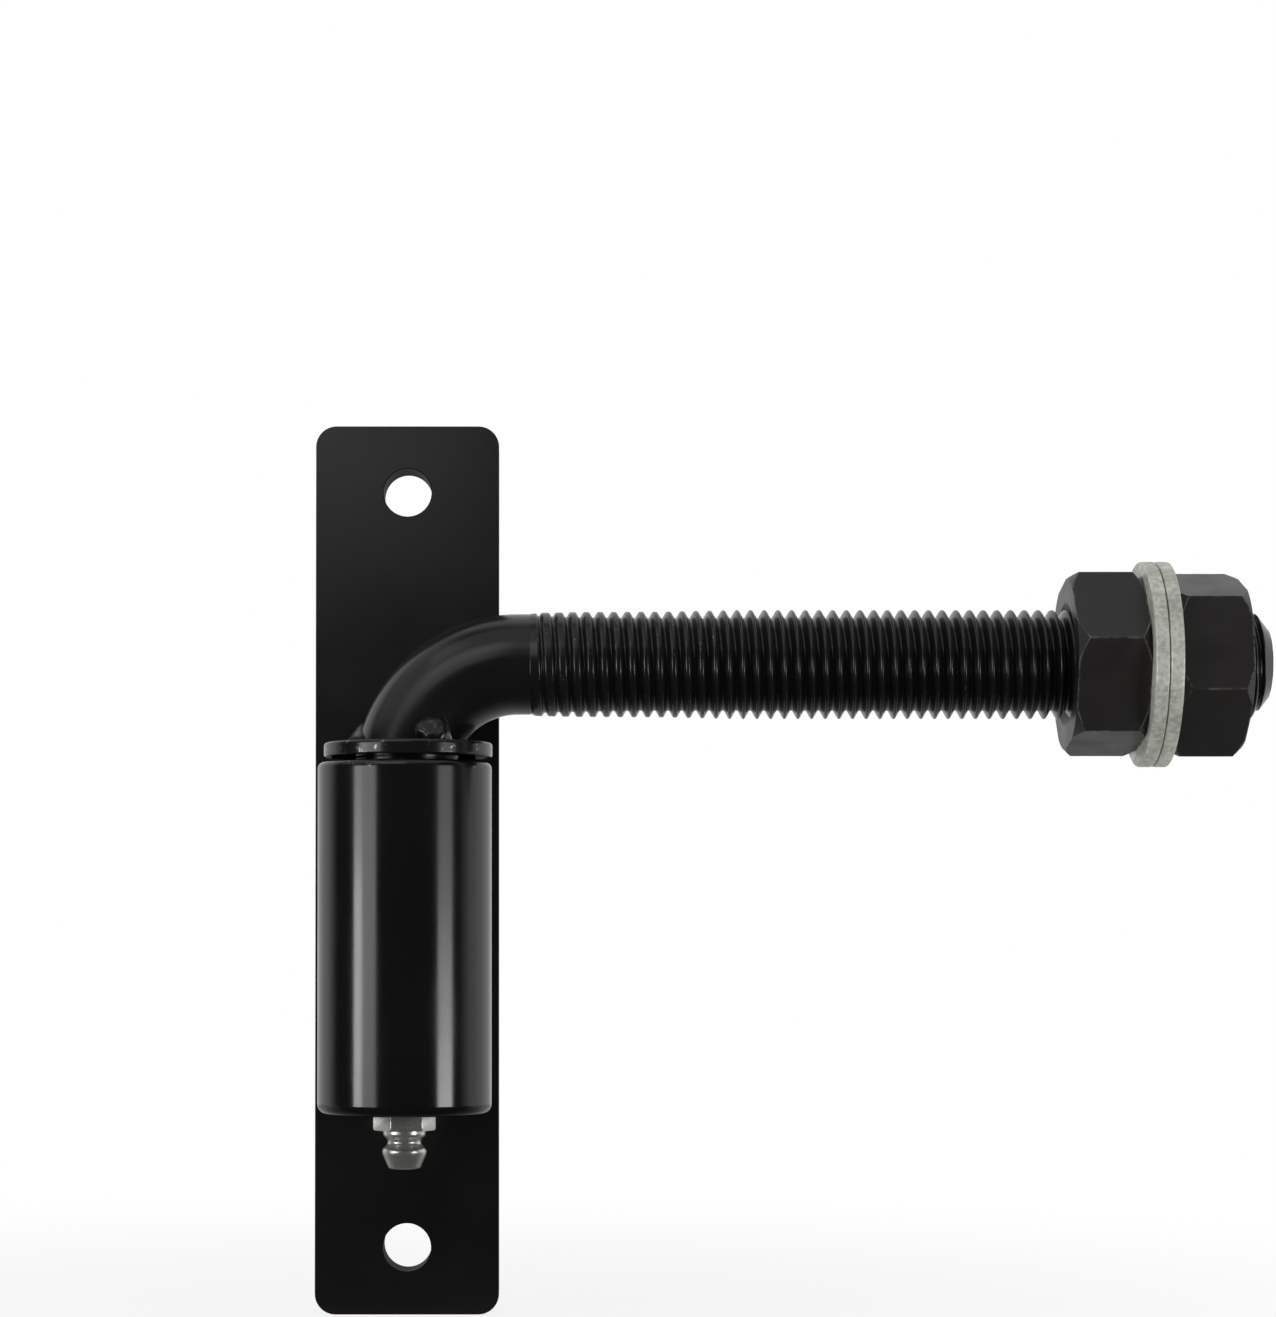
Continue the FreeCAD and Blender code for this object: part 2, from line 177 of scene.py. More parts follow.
@dataclass(frozen=True)
class StovedPaint(Finish):
    """Stoved black enamel over steel.

    Sprayed and baked: an even black with a soft sheen, faint peel and light handling marks, and bare
    steel where edges are chipped. The real grit is too fine to show, so it is drawn coarser.
    """

    dark: str = "#0f0e0e"
    light: str = "#191817"
    blotch: float = 14.0
    rough_low: float = 0.30
    rough_high: float = 0.40
    ior: float = 1.5
    peel: float = 0.9
    peel_height: float = 0.004
    grit: float = 0.16
    grit_height: float = 0.0012
    chip: str = "#8f8d88"
    chip_size: float = 1.1
    chip_share: float = 0.5
    chip_edge: float = 0.06

    def shade(self, tree: bpy.types.NodeTree) -> bpy.types.Node:
        """Build the shader: blotched black, peel and grit bump, chipped edges.

        Args:
            tree: The material's node tree.

        Returns:
            The shader node.
        """
        add = partial(add_node, tree)
        place = add("TexCoord").outputs["Object"]
        blotch = add(
            "TexNoise", {"Scale": per_mm(self.blotch), "Detail": 4.0, "Roughness": 0.6}, {"Vector": place}
        )
        tone = add(
            "Mix",
            {"data_type": "RGBA", 6: linear(self.dark), 7: linear(self.light)},
            {0: blotch.outputs["Fac"]},
        )
        chips = add(
            "TexNoise", {"Scale": per_mm(self.chip_size), "Detail": 5.0, "Roughness": 0.7}, {"Vector": place}
        )
        worn = add("Attribute", {"attribute_name": WEAR})
        whole_paint = 1.0 - self.chip_share
        bare = add(
            "MapRange",
            {"From Min": whole_paint, "From Max": whole_paint + self.chip_edge},
            {"Value": chips.outputs["Fac"]},
        )
        chipped = add(
            "Math", {"operation": "MULTIPLY"}, {0: worn.outputs["Fac"], 1: bare.outputs["Result"]}
        )
        colour = add(
            "Mix",
            {"data_type": "RGBA", 7: linear(self.chip)},
            {0: chipped.outputs["Value"], 6: tone.outputs[2]},
        )
        peel = add(
            "TexNoise", {"Scale": per_mm(self.peel), "Detail": 1.0, "Roughness": 0.4}, {"Vector": place}
        )
        grit = add(
            "TexNoise", {"Scale": per_mm(self.grit), "Detail": 2.0, "Roughness": 0.6}, {"Vector": place}
        )
        gloss = add(
            "MapRange",
            {"From Min": 0.3, "From Max": 0.7, "To Min": self.rough_low, "To Max": self.rough_high},
            {"Value": blotch.outputs["Fac"]},
        )
        coarse = add(
            "Bump", {"Strength": 1.0, "Distance": self.peel_height * MM}, {"Height": peel.outputs["Fac"]}
        )
        fine = add(
            "Bump",
            {"Strength": 1.0, "Distance": self.grit_height * MM},
            {"Height": grit.outputs["Fac"], "Normal": coarse.outputs["Normal"]},
        )
        return add(
            "BsdfPrincipled",
            {"IOR": self.ior},
            {
                "Base Color": colour.outputs[2],
                "Metallic": chipped.outputs["Value"],
                "Roughness": gloss.outputs["Result"],
                "Normal": fine.outputs["Normal"],
            },
        )


@dataclass(frozen=True)
class DrilledPaint(StovedPaint):
    """Stoved black enamel on a drilled steel plate.

    Sprayed on from the front: the same satin black, thin and without sheen inside the screw holes.
    """

    hole_radius: float = 3.65
    hole_height: float = 56.5
    hole_blend: float = 0.1
    hole_ior: float = 1.02

    def shade(self, tree: bpy.types.NodeTree) -> bpy.types.Node:
        """Build the shader: the enamel, with the walls of the holes dulled.

        Args:
            tree: The material's node tree.

        Returns:
            The shader node.
        """
        shader = super().shade(tree)
        add = partial(add_node, tree)
        place = add("TexCoord").outputs["Object"]
        parts = add("SeparateXYZ", links={0: place})
        height = add("Math", {"operation": "ABSOLUTE"}, {0: parts.outputs["Z"]})
        rise = add(
            "Math",
            {"operation": "SUBTRACT", 1: self.hole_height * MM},
            {0: height.outputs["Value"]},
        )
        spot = add("CombineXYZ", links={"X": parts.outputs["X"], "Z": rise.outputs["Value"]})
        reach = add("VectorMath", {"operation": "LENGTH"}, {0: spot.outputs[0]})
        sheen = add(
            "MapRange",
            {
                "From Min": self.hole_radius * MM,
                "From Max": (self.hole_radius + self.hole_blend) * MM,
                "To Min": self.hole_ior,
                "To Max": self.ior,
            },
            {"Value": reach.outputs["Value"]},
        )
        tree.links.new(sheen.outputs["Result"], shader.inputs["IOR"])
        return shader


@dataclass(frozen=True)
class BlackOxide(Finish):
    """Black oxide on forged steel nuts.

    A thin dipped conversion coat: warm charcoal with a dull metal sheen, faint smudges, and bright steel
    along the corners where it has rubbed off.
    """

    dark: str = "#1b1918"
    light: str = "#282524"
    edge: str = "#98948f"
    edge_metallic: float = 0.9
    smudge: float = 7.0
    rub: float = 1.6
    rough_low: float = 0.34
    rough_high: float = 0.46
    scale: float = 0.35
    scale_height: float = 0.003

    def shade(self, tree: bpy.types.NodeTree) -> bpy.types.Node:
        """Build the shader: smudged charcoal with rubbed corners.

        Args:
            tree: The material's node tree.

        Returns:
            The shader node.
        """
        add = partial(add_node, tree)
        place = add("TexCoord").outputs["Object"]
        smudge = add(
            "TexNoise",
            {"Scale": per_mm(self.smudge), "Detail": 5.0, "Roughness": 0.6, "Distortion": 0.4},
            {"Vector": place},
        )
        tone = add(
            "Mix",
            {"data_type": "RGBA", 6: linear(self.dark), 7: linear(self.light)},
            {0: smudge.outputs["Fac"]},
        )
        rub = add(
            "TexNoise", {"Scale": per_mm(self.rub), "Detail": 4.0, "Roughness": 0.7}, {"Vector": place}
        )
        share = add(
            "MapRange",
            {"From Min": 0.45, "From Max": 0.66, "To Min": 0.03, "To Max": 0.9},
            {"Value": rub.outputs["Fac"]},
        )
        worn = add("Attribute", {"attribute_name": WEAR})
        rubbed = add(
            "Math", {"operation": "MULTIPLY"}, {0: worn.outputs["Fac"], 1: share.outputs["Result"]}
        )
        colour = add(
            "Mix",
            {"data_type": "RGBA", 7: linear(self.edge)},
            {0: rubbed.outputs["Value"], 6: tone.outputs[2]},
        )
        metal = add(
            "MapRange", {"To Min": 0.0, "To Max": self.edge_metallic}, {"Value": rubbed.outputs["Value"]}
        )
        gloss = add(
            "MapRange",
            {"From Min": 0.3, "From Max": 0.7, "To Min": self.rough_low, "To Max": self.rough_high},
            {"Value": smudge.outputs["Fac"]},
        )
        scale = add(
            "TexNoise", {"Scale": per_mm(self.scale), "Detail": 3.0, "Roughness": 0.6}, {"Vector": place}
        )
        bump = add(
            "Bump", {"Strength": 1.0, "Distance": self.scale_height * MM}, {"Height": scale.outputs["Fac"]}
        )
        return add(
            "BsdfPrincipled",
            links={
                "Base Color": colour.outputs[2],
                "Metallic": metal.outputs["Result"],
                "Roughness": gloss.outputs["Result"],
                "Normal": bump.outputs["Normal"],
            },
        )


@dataclass(frozen=True)
class ZincPlate(Finish):
    """Barrel-plated zinc on stamped or turned steel, or bare polished or drawn steel.

    Tumbled in the plating drum: a pale grey metal with a slight green cast, a frosted crystalline grain and
    duller patches. The real crystals are too fine to show, so the grain is drawn coarser.
    """

    light: str = "#dddfd4"
    dark: str = "#b2b5a9"
    rough_low: float = 0.34
    rough_high: float = 0.52
    grain: float = 0.55
    grain_height: float = 0.010
    patch: float = 5.0
    patch_share: float = 0.45
    metallic: float = 1.0

    def shade(self, tree: bpy.types.NodeTree) -> bpy.types.Node:
        """Build the shader: frosted pale metal with grain.

        Args:
            tree: The material's node tree.

        Returns:
            The shader node.
        """
        add = partial(add_node, tree)
        place = add("TexCoord").outputs["Object"]
        grain = add(
            "TexNoise", {"Scale": per_mm(self.grain), "Detail": 4.0, "Roughness": 0.65}, {"Vector": place}
        )
        patch = add(
            "TexNoise", {"Scale": per_mm(self.patch), "Detail": 3.0, "Roughness": 0.6}, {"Vector": place}
        )
        blend = add(
            "Mix",
            {"data_type": "FLOAT", 0: self.patch_share},
            {2: grain.outputs["Fac"], 3: patch.outputs["Fac"]},
        )
        spread = add("MapRange", {"From Min": 0.34, "From Max": 0.66}, {"Value": blend.outputs[0]})
        colour = add(
            "Mix",
            {"data_type": "RGBA", 6: linear(self.dark), 7: linear(self.light)},
            {0: spread.outputs["Result"]},
        )
        gloss = add(
            "MapRange",
            {"To Min": self.rough_high, "To Max": self.rough_low},
            {"Value": spread.outputs["Result"]},
        )
        bump = add(
            "Bump", {"Strength": 1.0, "Distance": self.grain_height * MM}, {"Height": grain.outputs["Fac"]}
        )
        return add(
            "BsdfPrincipled",
            {"Metallic": self.metallic},
            {
                "Base Color": colour.outputs[2],
                "Roughness": gloss.outputs["Result"],
                "Normal": bump.outputs["Normal"],
            },
        )


@dataclass(frozen=True)
class StudioPaper(Finish):
    """Matt white background paper.

    Uncoated and rolled out flat: an even white without gloss. Near the object it keeps a faint shadow, and
    further out it is lit up to plain white. Glossy surfaces see a painted reflection in place of its lit
    shade:
    a glow, dim in front and brighter behind. The real fibres are too fine to show, so they are drawn coarser.
    """

    dark: str = "#f1f1f0"
    light: str = "#f6f6f5"
    fibre: float = 2.0
    shadow_radius: float = 60.0
    white_radius: float = 250.0
    shadow_white: float = 0.86
    # Painted reflection: the glow that glossy rays see rises from dim to bright between these depths, in
    # millimetres.
    painted_reflection_dim_y: float = -30.0
    painted_reflection_bright_y: float = 50.0
    dim: float = 0.03
    bright: float = 0.5

    def shade(self, tree: bpy.types.NodeTree) -> bpy.types.Node:
        """Build the shader: white paper that the camera sees lit, with a painted reflection for glossy
        surfaces.

        Args:
            tree: The material's node tree.

        Returns:
            The shader node.
        """
        add = partial(add_node, tree)
        place = add("TexCoord").outputs["Object"]
        fibre = add("TexNoise", {"Scale": per_mm(self.fibre), "Detail": 3.0}, {"Vector": place})
        tone = add(
            "Mix",
            {"data_type": "RGBA", 6: linear(self.dark), 7: linear(self.light)},
            {0: fibre.outputs["Fac"]},
        )
        sheet = add(
            "BsdfPrincipled", {"Roughness": 0.9, "Specular IOR Level": 0.2}, {"Base Color": tone.outputs[2]}
        )
        glow = add("Emission", {"Color": WHITE, "Strength": 1.0})
        reach = add("VectorMath", {"operation": "LENGTH"}, {0: place})
        share = add(
            "MapRange",
            {
                "interpolation_type": "SMOOTHSTEP",
                "From Min": self.shadow_radius * MM,
                "From Max": self.white_radius * MM,
                "To Min": self.shadow_white,
            },
            {"Value": reach.outputs["Value"]},
        )
        path = add("LightPath")
        seen = add(
            "Math",
            {"operation": "MULTIPLY"},
            {0: path.outputs["Is Camera Ray"], 1: share.outputs["Result"]},
        )
        direct = add("MixShader", links={0: seen.outputs["Value"], 1: sheet.outputs[0], 2: glow.outputs[0]})
        # Painted reflection: glossy rays see the paper as a glow, dim in front and brighter behind, not its
        # lit shade.
        depth = add("SeparateXYZ", links={0: place}).outputs["Y"]
        behind = add(
            "MapRange",
            {
                "From Min": self.painted_reflection_dim_y * MM,
                "From Max": self.painted_reflection_bright_y * MM,
                "To Min": self.dim,
                "To Max": self.bright,
            },
            {"Value": depth},
        )
        mirrored = add("Emission", {"Color": WHITE}, {"Strength": behind.outputs["Result"]})
        return add(
            "MixShader",
            links={0: path.outputs["Is Glossy Ray"], 1: direct.outputs[0], 2: mirrored.outputs[0]},
        )


PLATE_PAINT = DrilledPaint("stoved_satin_black_plate", rough_low=0.27, rough_high=0.34)
BARREL_PAINT = StovedPaint(
    "stoved_gloss_black_barrel",
    dark="#0e0d0d",
    light="#151413",
    rough_low=0.13,
    rough_high=0.19,
    peel=1.4,
    peel_height=0.003,
    chip_share=0.38,
)
ROD_PAINT = StovedPaint("stoved_black_rod", rough_low=0.18, rough_high=0.27, chip="#7a7874", chip_share=0.37)
COLLAR_PAINT = StovedPaint("stoved_black_collar", rough_low=0.14, rough_high=0.22, chip_share=0.40)
WELD_PAINT = StovedPaint(
    "stoved_black_over_weld", rough_low=0.18, rough_high=0.30, peel=0.6, peel_height=0.02
)
NUT_OXIDE = BlackOxide("black_oxide_nut")
WASHER_ZINC = ZincPlate("zinc_plated_washer", light="#eef0e6", dark="#a0a397", grain=0.7, metallic=0.25)
FITTING_ZINC = ZincPlate(
    "bright_zinc_fitting",
    light="#ededea",
    dark="#d2d1cb",
    rough_low=0.24,
    rough_high=0.36,
    grain=0.3,
    grain_height=0.002,
    metallic=0.9,
)
BALL_STEEL = ZincPlate(
    "polished_ball_steel",
    light="#d0d0d0",
    dark="#bcbcbc",
    rough_low=0.06,
    rough_high=0.12,
    grain=0.2,
    grain_height=0.0005,
)
SPRING_STEEL = ZincPlate(
    "drawn_spring_wire",
    light="#b0b0b0",
    dark="#8c8c8c",
    rough_low=0.25,
    rough_high=0.35,
    grain=0.15,
    grain_height=0.001,
)
FLOOR_PAPER = StudioPaper("white_paper_floor")


def whole(mesh: bmesh.types.BMesh) -> list[Any]:
    """All vertices, edges and faces of a mesh."""
    return mesh.verts[:] + mesh.edges[:] + mesh.faces[:]


def open_edges(mesh: bmesh.types.BMesh) -> list[bmesh.types.BMEdge]:
    """Edges round the open ends of a mesh."""
    return [e for e in mesh.edges if e.is_boundary]


def made_of(kind: type, made: dict[str, list[Any]]) -> list[Any]:
    """Elements of one kind among those that an operator made."""
    return [g for g in made["geom"] if isinstance(g, kind)]


def face_outwards(mesh: bmesh.types.BMesh) -> None:
    """Turn every face outwards."""
    bmesh.ops.recalc_face_normals(mesh, faces=mesh.faces[:])


def soften(mesh: bmesh.types.BMesh, geom: list[Any], offset: float, segments: int, ease: Ease) -> None:
    """Bevel corners or edges.

    Args:
        mesh: Mesh to work on.
        geom: Vertices or edges to bevel.
        offset: Width of the bevel, in millimetres.
        segments: Facets across the bevel.
        ease: Whether geom is corners or edges.
    """
    bmesh.ops.bevel(
        mesh,
        geom=geom,
        offset=offset * MM,
        offset_type="OFFSET",
        segments=segments,
        profile=0.5,
        affect=ease.value,
        material=-1,
    )


def sweep(
    mesh: bmesh.types.BMesh,
    geom: list[Any],
    centre: Vector,
    axis: Axis,
    steps: int,
    angle: float = FULL_TURN,
    advance: float = 0.0,
) -> None:
    """Sweep geometry about an axis, merged where it closes a full turn.

    Args:
        mesh: Mesh to work on.
        geom: What is swept.
        centre: Point on the axis, in metres.
        axis: Axis to sweep about.
        steps: Facets of the sweep.
        angle: How far it turns, in degrees.
        advance: How far it moves along the axis, in millimetres.
    """
    bmesh.ops.spin(
        mesh,
        geom=geom,
        cent=centre,
        axis=Vector(axis.value),
        dvec=Vector(axis.value) * (advance / steps * MM),
        angle=math.radians(angle),
        steps=steps,
        use_merge=angle == FULL_TURN and advance == 0.0,
        use_normal_flip=False,
        use_duplicate=False,
    )


def profile_wire(mesh: bmesh.types.BMesh, points: Profile, axis: Axis, foot: Vector, closed: bool) -> None:
    """Draw a turning profile as a wire with rounded corners.

    Supporting points beside each corner keep the shading of long walls straight.

    Args:
        mesh: Empty bmesh to draw in.
        points: The profile.
        axis: Axis that the profile will be turned about.
        foot: Point on the axis where height is zero, in metres.
        closed: Whether the last point joins the first.
    """
    verts = []
    for radius, height, _ in points:
        offset = Vector((radius, 0, height)) if axis is Axis.BARREL else Vector((height, 0, radius))
        verts.append(mesh.verts.new(foot + offset * MM))
    for a, b in zip(verts, verts[1:]):
        mesh.edges.new((a, b))
    if closed:
        mesh.edges.new((verts[-1], verts[0]))
    for vert, (_, _, rounding) in zip(verts, points):
        if rounding > 0:
            soften(mesh, [vert], rounding, CORNER_FACETS, Ease.CORNERS)
    for edge in [e for e in mesh.edges if e.calc_length() > SUPPORTED_LENGTH * MM]:
        first, last = edge.verts
        _, near = bmesh.utils.edge_split(edge, first, SUPPORT * MM / edge.calc_length())
        rest = next(e for e in near.link_edges if last in e.verts)
        bmesh.utils.edge_split(rest, last, SUPPORT * MM / rest.calc_length())


def turn(
    points: Profile, axis: Axis, foot: Vector, steps: int, closed: bool = False
) -> bmesh.types.BMesh:
    """Turn a profile about an axis into a closed solid.

    Args:
        points: The profile.
        axis: Axis to turn about.
        foot: Point on the axis where height is zero, in metres.
        steps: Facets round the axis.
        closed: Whether the profile is a ring that stays off the axis.

    Returns:
        The turned mesh.
    """
    mesh = bmesh.new()
    profile_wire(mesh, points, axis, foot, closed)
    sweep(mesh, whole(mesh), foot, axis, steps)
    bmesh.ops.remove_doubles(mesh, verts=mesh.verts[:], dist=MERGE)
    face_outwards(mesh)
    return mesh


def mark_wear(mesh: bmesh.types.BMesh, share: Callable[[bmesh.types.BMFace, Vector], float]) -> None:
    """Store how worn each face corner is.

    Args:
        mesh: Mesh to mark.
        share: Gives wear from 0 to 1 for a face and one of its corners.
    """
    layer = mesh.loops.layers.float_color.new(WEAR)
    for face in mesh.faces:
        for loop in face.loops:
            value = share(face, loop.vert.co)
            loop[layer] = (value, value, value, 1.0)


def finish_piece(
    mesh: bmesh.types.BMesh,
    name: str,
    nodes: Sequence[str],
    body: str,
    finish: Finish,
    sharp: float = 35.0,
) -> bpy.types.Object:
    """Make an object from a mesh, dress it and tie it to its body.

    Args:
        mesh: Shape in the shared frame, in metres.
        name: Name of the piece.
        nodes: CAD nodes that it stands for.
        body: Body that it rides on.
        finish: Finish that it wears.
        sharp: Edges that turn by more than this many degrees stay crisp.

    Returns:
        The finished object.
    """
    data = bpy.data.meshes.new(name)
    mesh.to_mesh(data)
    mesh.free()
    data.shade_smooth()
    data.set_sharp_from_angle(angle=math.radians(sharp))
    data.materials.append(finish.material())
    piece = bpy.data.objects.new(name, data)
    bpy.context.scene.collection.objects.link(piece)
    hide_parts(*nodes)
    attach(piece, body)
    LOG.info("%s: %d faces, rides on %s", name, len(data.polygons), body)
    return piece


def dress_node(node: str, finish: Finish) -> None:
    """Give a CAD node that keeps its own shape a finish.

    Args:
        node: Name of the node.
        finish: Finish that it wears.
    """
    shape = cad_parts[node]
    shape.data.materials.clear()
    shape.data.materials.append(finish.material())
    LOG.info("%s: keeps its solid, finish %s", node, finish.name)


def box_mm(node: str) -> tuple[Vector, Vector]:
    """Low and high corner of a CAD node's box at rest, in millimetres."""
    low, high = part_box(node)
    return low / MM, high / MM


@dataclass(frozen=True)
class HingeLayout:
    """Places that the sub-assemblies share, in millimetres."""

    plate_face: float
    barrel_y: float
    barrel_top: float
    barrel_bottom: float
    arm_z: float
    barrel_radius: float = 12.7
    thread_radius: float = 8.0

    @classmethod
    def from_frame(cls) -> "HingeLayout":
        """Read the places from the solids' boxes.

        Returns:
            The layout of the hinge at rest.
        """
        plate_face = box_mm("mounting_plate")[0].y
        barrel_low, barrel_high = box_mm("barrel")
        return cls(
            plate_face=plate_face,
            barrel_y=plate_face - cls.barrel_radius,
            barrel_top=barrel_high.z,
            barrel_bottom=barrel_low.z,
            arm_z=box_mm("j_bolt")[1].z - cls.thread_radius,
        )

    @property
    def barrel_foot(self) -> Vector:
        """Point on the barrel axis at height zero, in metres."""
        return Vector((0, self.barrel_y, 0)) * MM

    @property
    def arm_foot(self) -> Vector:
        """Point where the arm's axis crosses the barrel axis, in metres."""
        return Vector((0, self.barrel_y, self.arm_z)) * MM


class Side(Enum):
    """Sides of the barrel, each with its sign along the arm."""

    LEFT = -1
    RIGHT = 1


@dataclass
class BarrelWeld:
    """Weld bead in the groove between barrel and plate, in millimetres."""

    layout: HingeLayout
    side: Side
    body: str = "post_side"
    lip_share: float = 0.83
    points: int = 9
    steps: int = 110
    root_x: float = 4.0
    root_gap: float = 0.7
    hidden_x: float = 8.0
    facing: tuple[float, float] = (0.75, -0.66)
    crown: float = 0.42
    run_out: float = 1.2
    sharp: float = 50.0
    ripple_height: float = 0.10
    ripple_pitch: float = 1.9
    ripple_lag: float = 0.9
    swell_height: float = 0.12
    swell_rate: float = 0.35
    swell_row: float = 3.0

    def build(self) -> None:
        """Extrude the bead's outline upwards, raise its rippled crown and dress it."""
        node = f"barrel_weld_{self.side.name.lower()}"
        sign = self.side.value
        corner, far_corner = box_mm(node)
        low, high = corner.z, far_corner.z
        reach = max(-corner.x, far_corner.x)
        lip = reach * self.lip_share
        plate = self.layout.plate_face
        lip_y = self.layout.barrel_y + math.sqrt(self.layout.barrel_radius**2 - lip**2)
        shares = [i / (self.points - 1) for i in range(self.points)]
        outline = [(reach + (lip - reach) * s, plate + (lip_y - plate) * s) for s in shares]
        outline += [(self.root_x, plate - self.root_gap), (self.root_x, plate)]
        mesh = bmesh.new()
        start = mesh.faces.new([mesh.verts.new(Vector((sign * x, y, low)) * MM) for x, y in outline])
        rise = Vector((0, 0, (high - low) / self.steps * MM))
        faces = [start]
        for _ in range(self.steps):
            made = bmesh.ops.extrude_face_region(mesh, geom=faces)
            bmesh.ops.translate(mesh, verts=made_of(bmesh.types.BMVert, made), vec=rise)
            old, faces = faces, made_of(bmesh.types.BMFace, made)
            if old[0] is not start:
                bmesh.ops.delete(mesh, geom=old, context="FACES_ONLY")
        out = Vector((sign * self.facing[0], self.facing[1], 0)).normalized()
        for vert in mesh.verts:
            x, z = abs(vert.co.x) / MM, vert.co.z / MM
            if x < self.hidden_x:
                continue
            share = (reach - x) / (reach - lip)
            crown = math.sin(math.pi * min(max(share, 0.0), 1.0))
            wave = math.cos(math.tau * (z + self.ripple_lag * crown) / self.ripple_pitch)
            swell = noise.noise(Vector((0, sign * self.swell_row, z * self.swell_rate)))
            height = self.crown + self.ripple_height * wave + self.swell_height * swell
            end = max(0.0, min(1.0, (z - low) / self.run_out, (high - z) / self.run_out))
            vert.co += out * (crown * height * math.sqrt(end) * MM)
        face_outwards(mesh)
        finish_piece(mesh, node + "_bead", [node], self.body, WELD_PAINT, self.sharp)


@dataclass
class PostSide:
    """Plate and barrel, with their welds, in millimetres."""

    layout: HingeLayout
    body: str = "post_side"
    facets: int = 192
    top_rounding: float = 0.9
    bottom_rounding: float = 1.4
    rim_depth: float = 1.15
    rim_inset: float = 2.0
    bore_radius: float = 7.41
    mouth_chamfer: float = 1.3
    mouth_rounding: float = 0.2
    drill_apex: float = -27.1
    drill_rim: float = -22.65
    shank_hole_radius: float = 3.15
    shank_hole_depth: float = 5.7
    shank_hole_rounding: float = 0.15

    def build(self) -> None:
        """Build and dress every piece."""
        dress_node("mounting_plate", PLATE_PAINT)
        self.build_barrel()
        for side in Side:
            BarrelWeld(self.layout, side).build()

    def build_barrel(self) -> None:
        """Turn the barrel with its rounded rims and blind bore."""
        low, top = self.layout.barrel_bottom, self.layout.barrel_top
        bore, wall, hole = self.bore_radius, self.layout.barrel_radius, self.shank_hole_radius
        mesh = turn(
            [
                (0, self.drill_apex, 0),
                (bore, self.drill_rim, 0),
                (bore, top - self.mouth_chamfer, 0),
                (bore + self.mouth_chamfer, top, self.mouth_rounding),
                (wall, top, self.top_rounding),
                (wall, top - self.rim_depth, 0),
                (wall, low, self.bottom_rounding),
                (hole, low, self.shank_hole_rounding),
                (hole, low + self.shank_hole_depth, 0),
                (0, low + self.shank_hole_depth, 0),
            ],
            Axis.BARREL,
            self.layout.barrel_foot,
            self.facets,
        )
        mark_wear(mesh, self.rim_wear)
        finish_piece(mesh, "barrel_shell", ["barrel"], self.body, BARREL_PAINT)

    def rim_wear(self, face: bmesh.types.BMFace, at: Vector) -> float:
        """Wear on the barrel's top rim only.

        Args:
            face: Face of the barrel.
            at: One of its corners, in metres.

        Returns:
            Wear from 0 to 1.
        """
        radius = (at - self.layout.barrel_foot).xy.length
        outside = radius > (self.bore_radius + self.rim_inset) * MM
        rim = (self.layout.barrel_top - self.rim_depth - HAIR) * MM
        return 1.0 if outside and min(v.co.z for v in face.verts) > rim else 0.0


